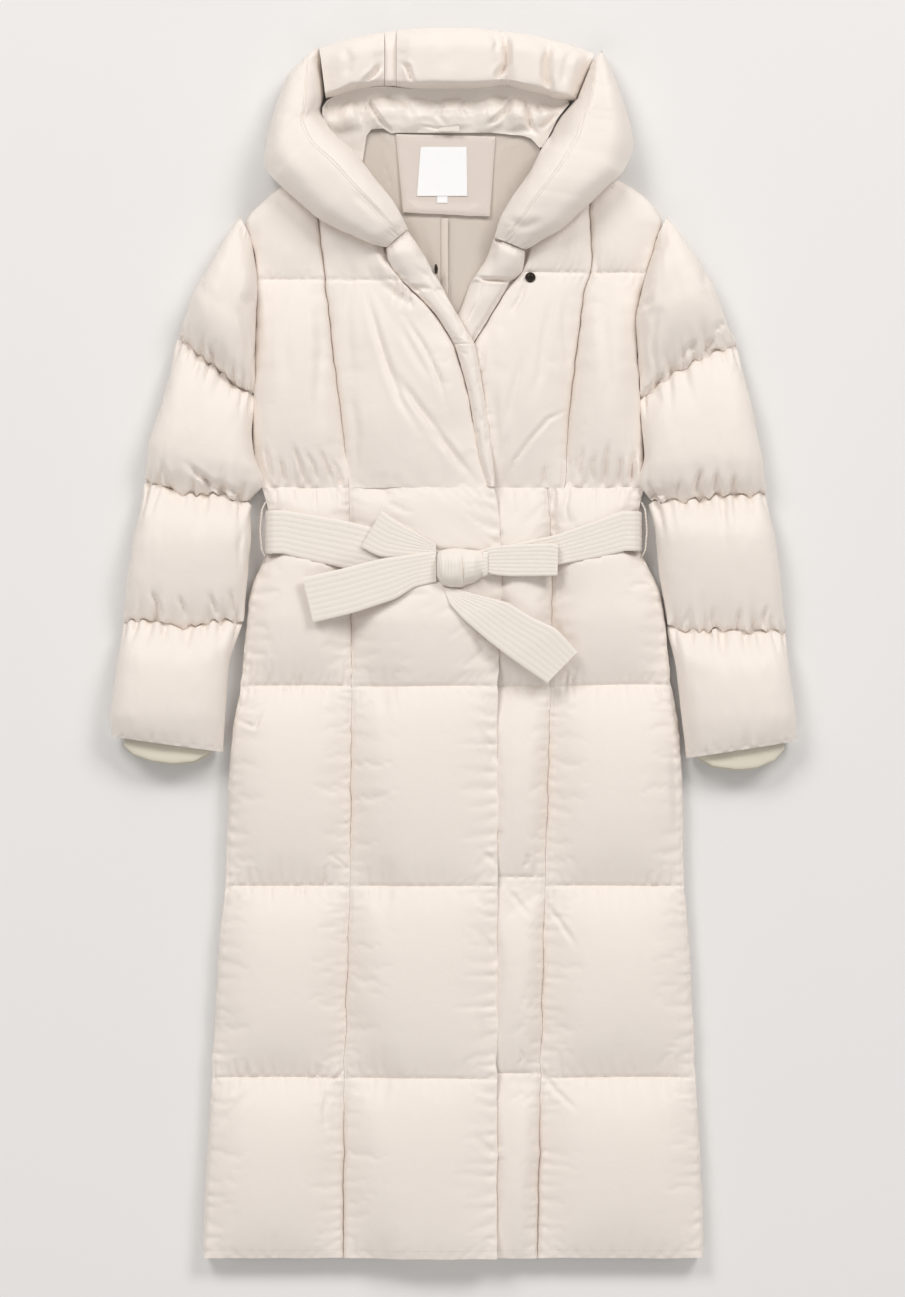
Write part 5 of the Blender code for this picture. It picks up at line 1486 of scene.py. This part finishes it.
# ---- Snaps -----------------------------------------------------------------------------------
# Dark metal press snaps: a cap on the left front, and the right one's rim seen edge-on. Each
# is stamped sheet, rolled at its rim and pressed on through the cloth.
metal = plain_paint("snap_metal", (0.045, 0.035, 0.03), 0.35, metallic=0.9)
for node, facing in (("snap_left", (0, 0, 1)), ("snap_right", (1, 0, 0.25))):
    low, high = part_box(node)
    middle = (low + high) / 2
    normal = Vector(facing).normalized()
    side = normal.orthogonal().normalized()
    other = normal.cross(side)
    profile = [(6.0, -1.1), (6.0, -0.5), (5.85, -0.1), (5.5, 0.15), (5.0, 0.2), (4.7, -0.05),
               (4.3, -0.1), (3.9, 0.35), (3.3, 0.85), (2.4, 1.05), (1.9, 1.0), (1.6, 0.45),
               (0.8, 0.3)]
    rings = [[tuple(middle + (side * math.cos(2 * math.pi * k / 40) * r
                              + other * math.sin(2 * math.pi * k / 40) * r + normal * h) * MM)
              for k in range(40)] for r, h in profile]
    piece = close_tube(node + "_cap", np.array(rings), metal)
    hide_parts(node)

# ---- Floor and light -------------------------------------------------------------------------
# A pale plain floor, and soft light from two wide windows beyond the hood, with a fainter
# one from the hem's side.
floor_mesh = bpy.data.meshes.new("floor")
reach = 6.0
floor_mesh.from_pydata([(-reach, -reach, 0), (reach, -reach, 0), (reach, reach, 0),
                        (-reach, reach, 0)], [], [(0, 1, 2, 3)])
floor = bpy.data.objects.new("floor", floor_mesh)
floor_mesh.materials.append(plain_paint("floor_paint", (0.82, 0.81, 0.80), 0.9))
bpy.context.scene.collection.objects.link(floor)


def soft_light(name, place, target, size, power, colour):
    """A wide soft lamp that looks at a point of the coat."""
    lamp_data = bpy.data.lights.new(name, "AREA")
    lamp_data.shape = "RECTANGLE"
    lamp_data.size, lamp_data.size_y = size
    lamp_data.energy, lamp_data.color = power, colour
    lamp = bpy.data.objects.new(name, lamp_data)
    lamp.location = place
    way = Vector(target) - Vector(place)
    lamp.rotation_euler = way.to_track_quat("-Z", "Y").to_euler()
    bpy.context.scene.collection.objects.link(lamp)


daylight = (1.0, 0.985, 0.965)
soft_light("window_right", (3.9, 4.9, 5.4), (0, 0, 0), (3.0, 2.6), 262, daylight)
soft_light("window_left", (-3.2, 4.9, 5.4), (0, 0, 0), (3.0, 2.6), 222, daylight)
soft_light("room_side", (-0.8, -6.0, 6.4), (0, -0.1, 0), (6.0, 4.0), 105, (1.0, 0.985, 0.97))
room = bpy.data.worlds.new("room")
room.use_nodes = True
room.node_tree.nodes["Background"].inputs["Color"].default_value = (1.0, 0.99, 0.98, 1.0)
room.node_tree.nodes["Background"].inputs["Strength"].default_value = 0.42
bpy.context.scene.world = room
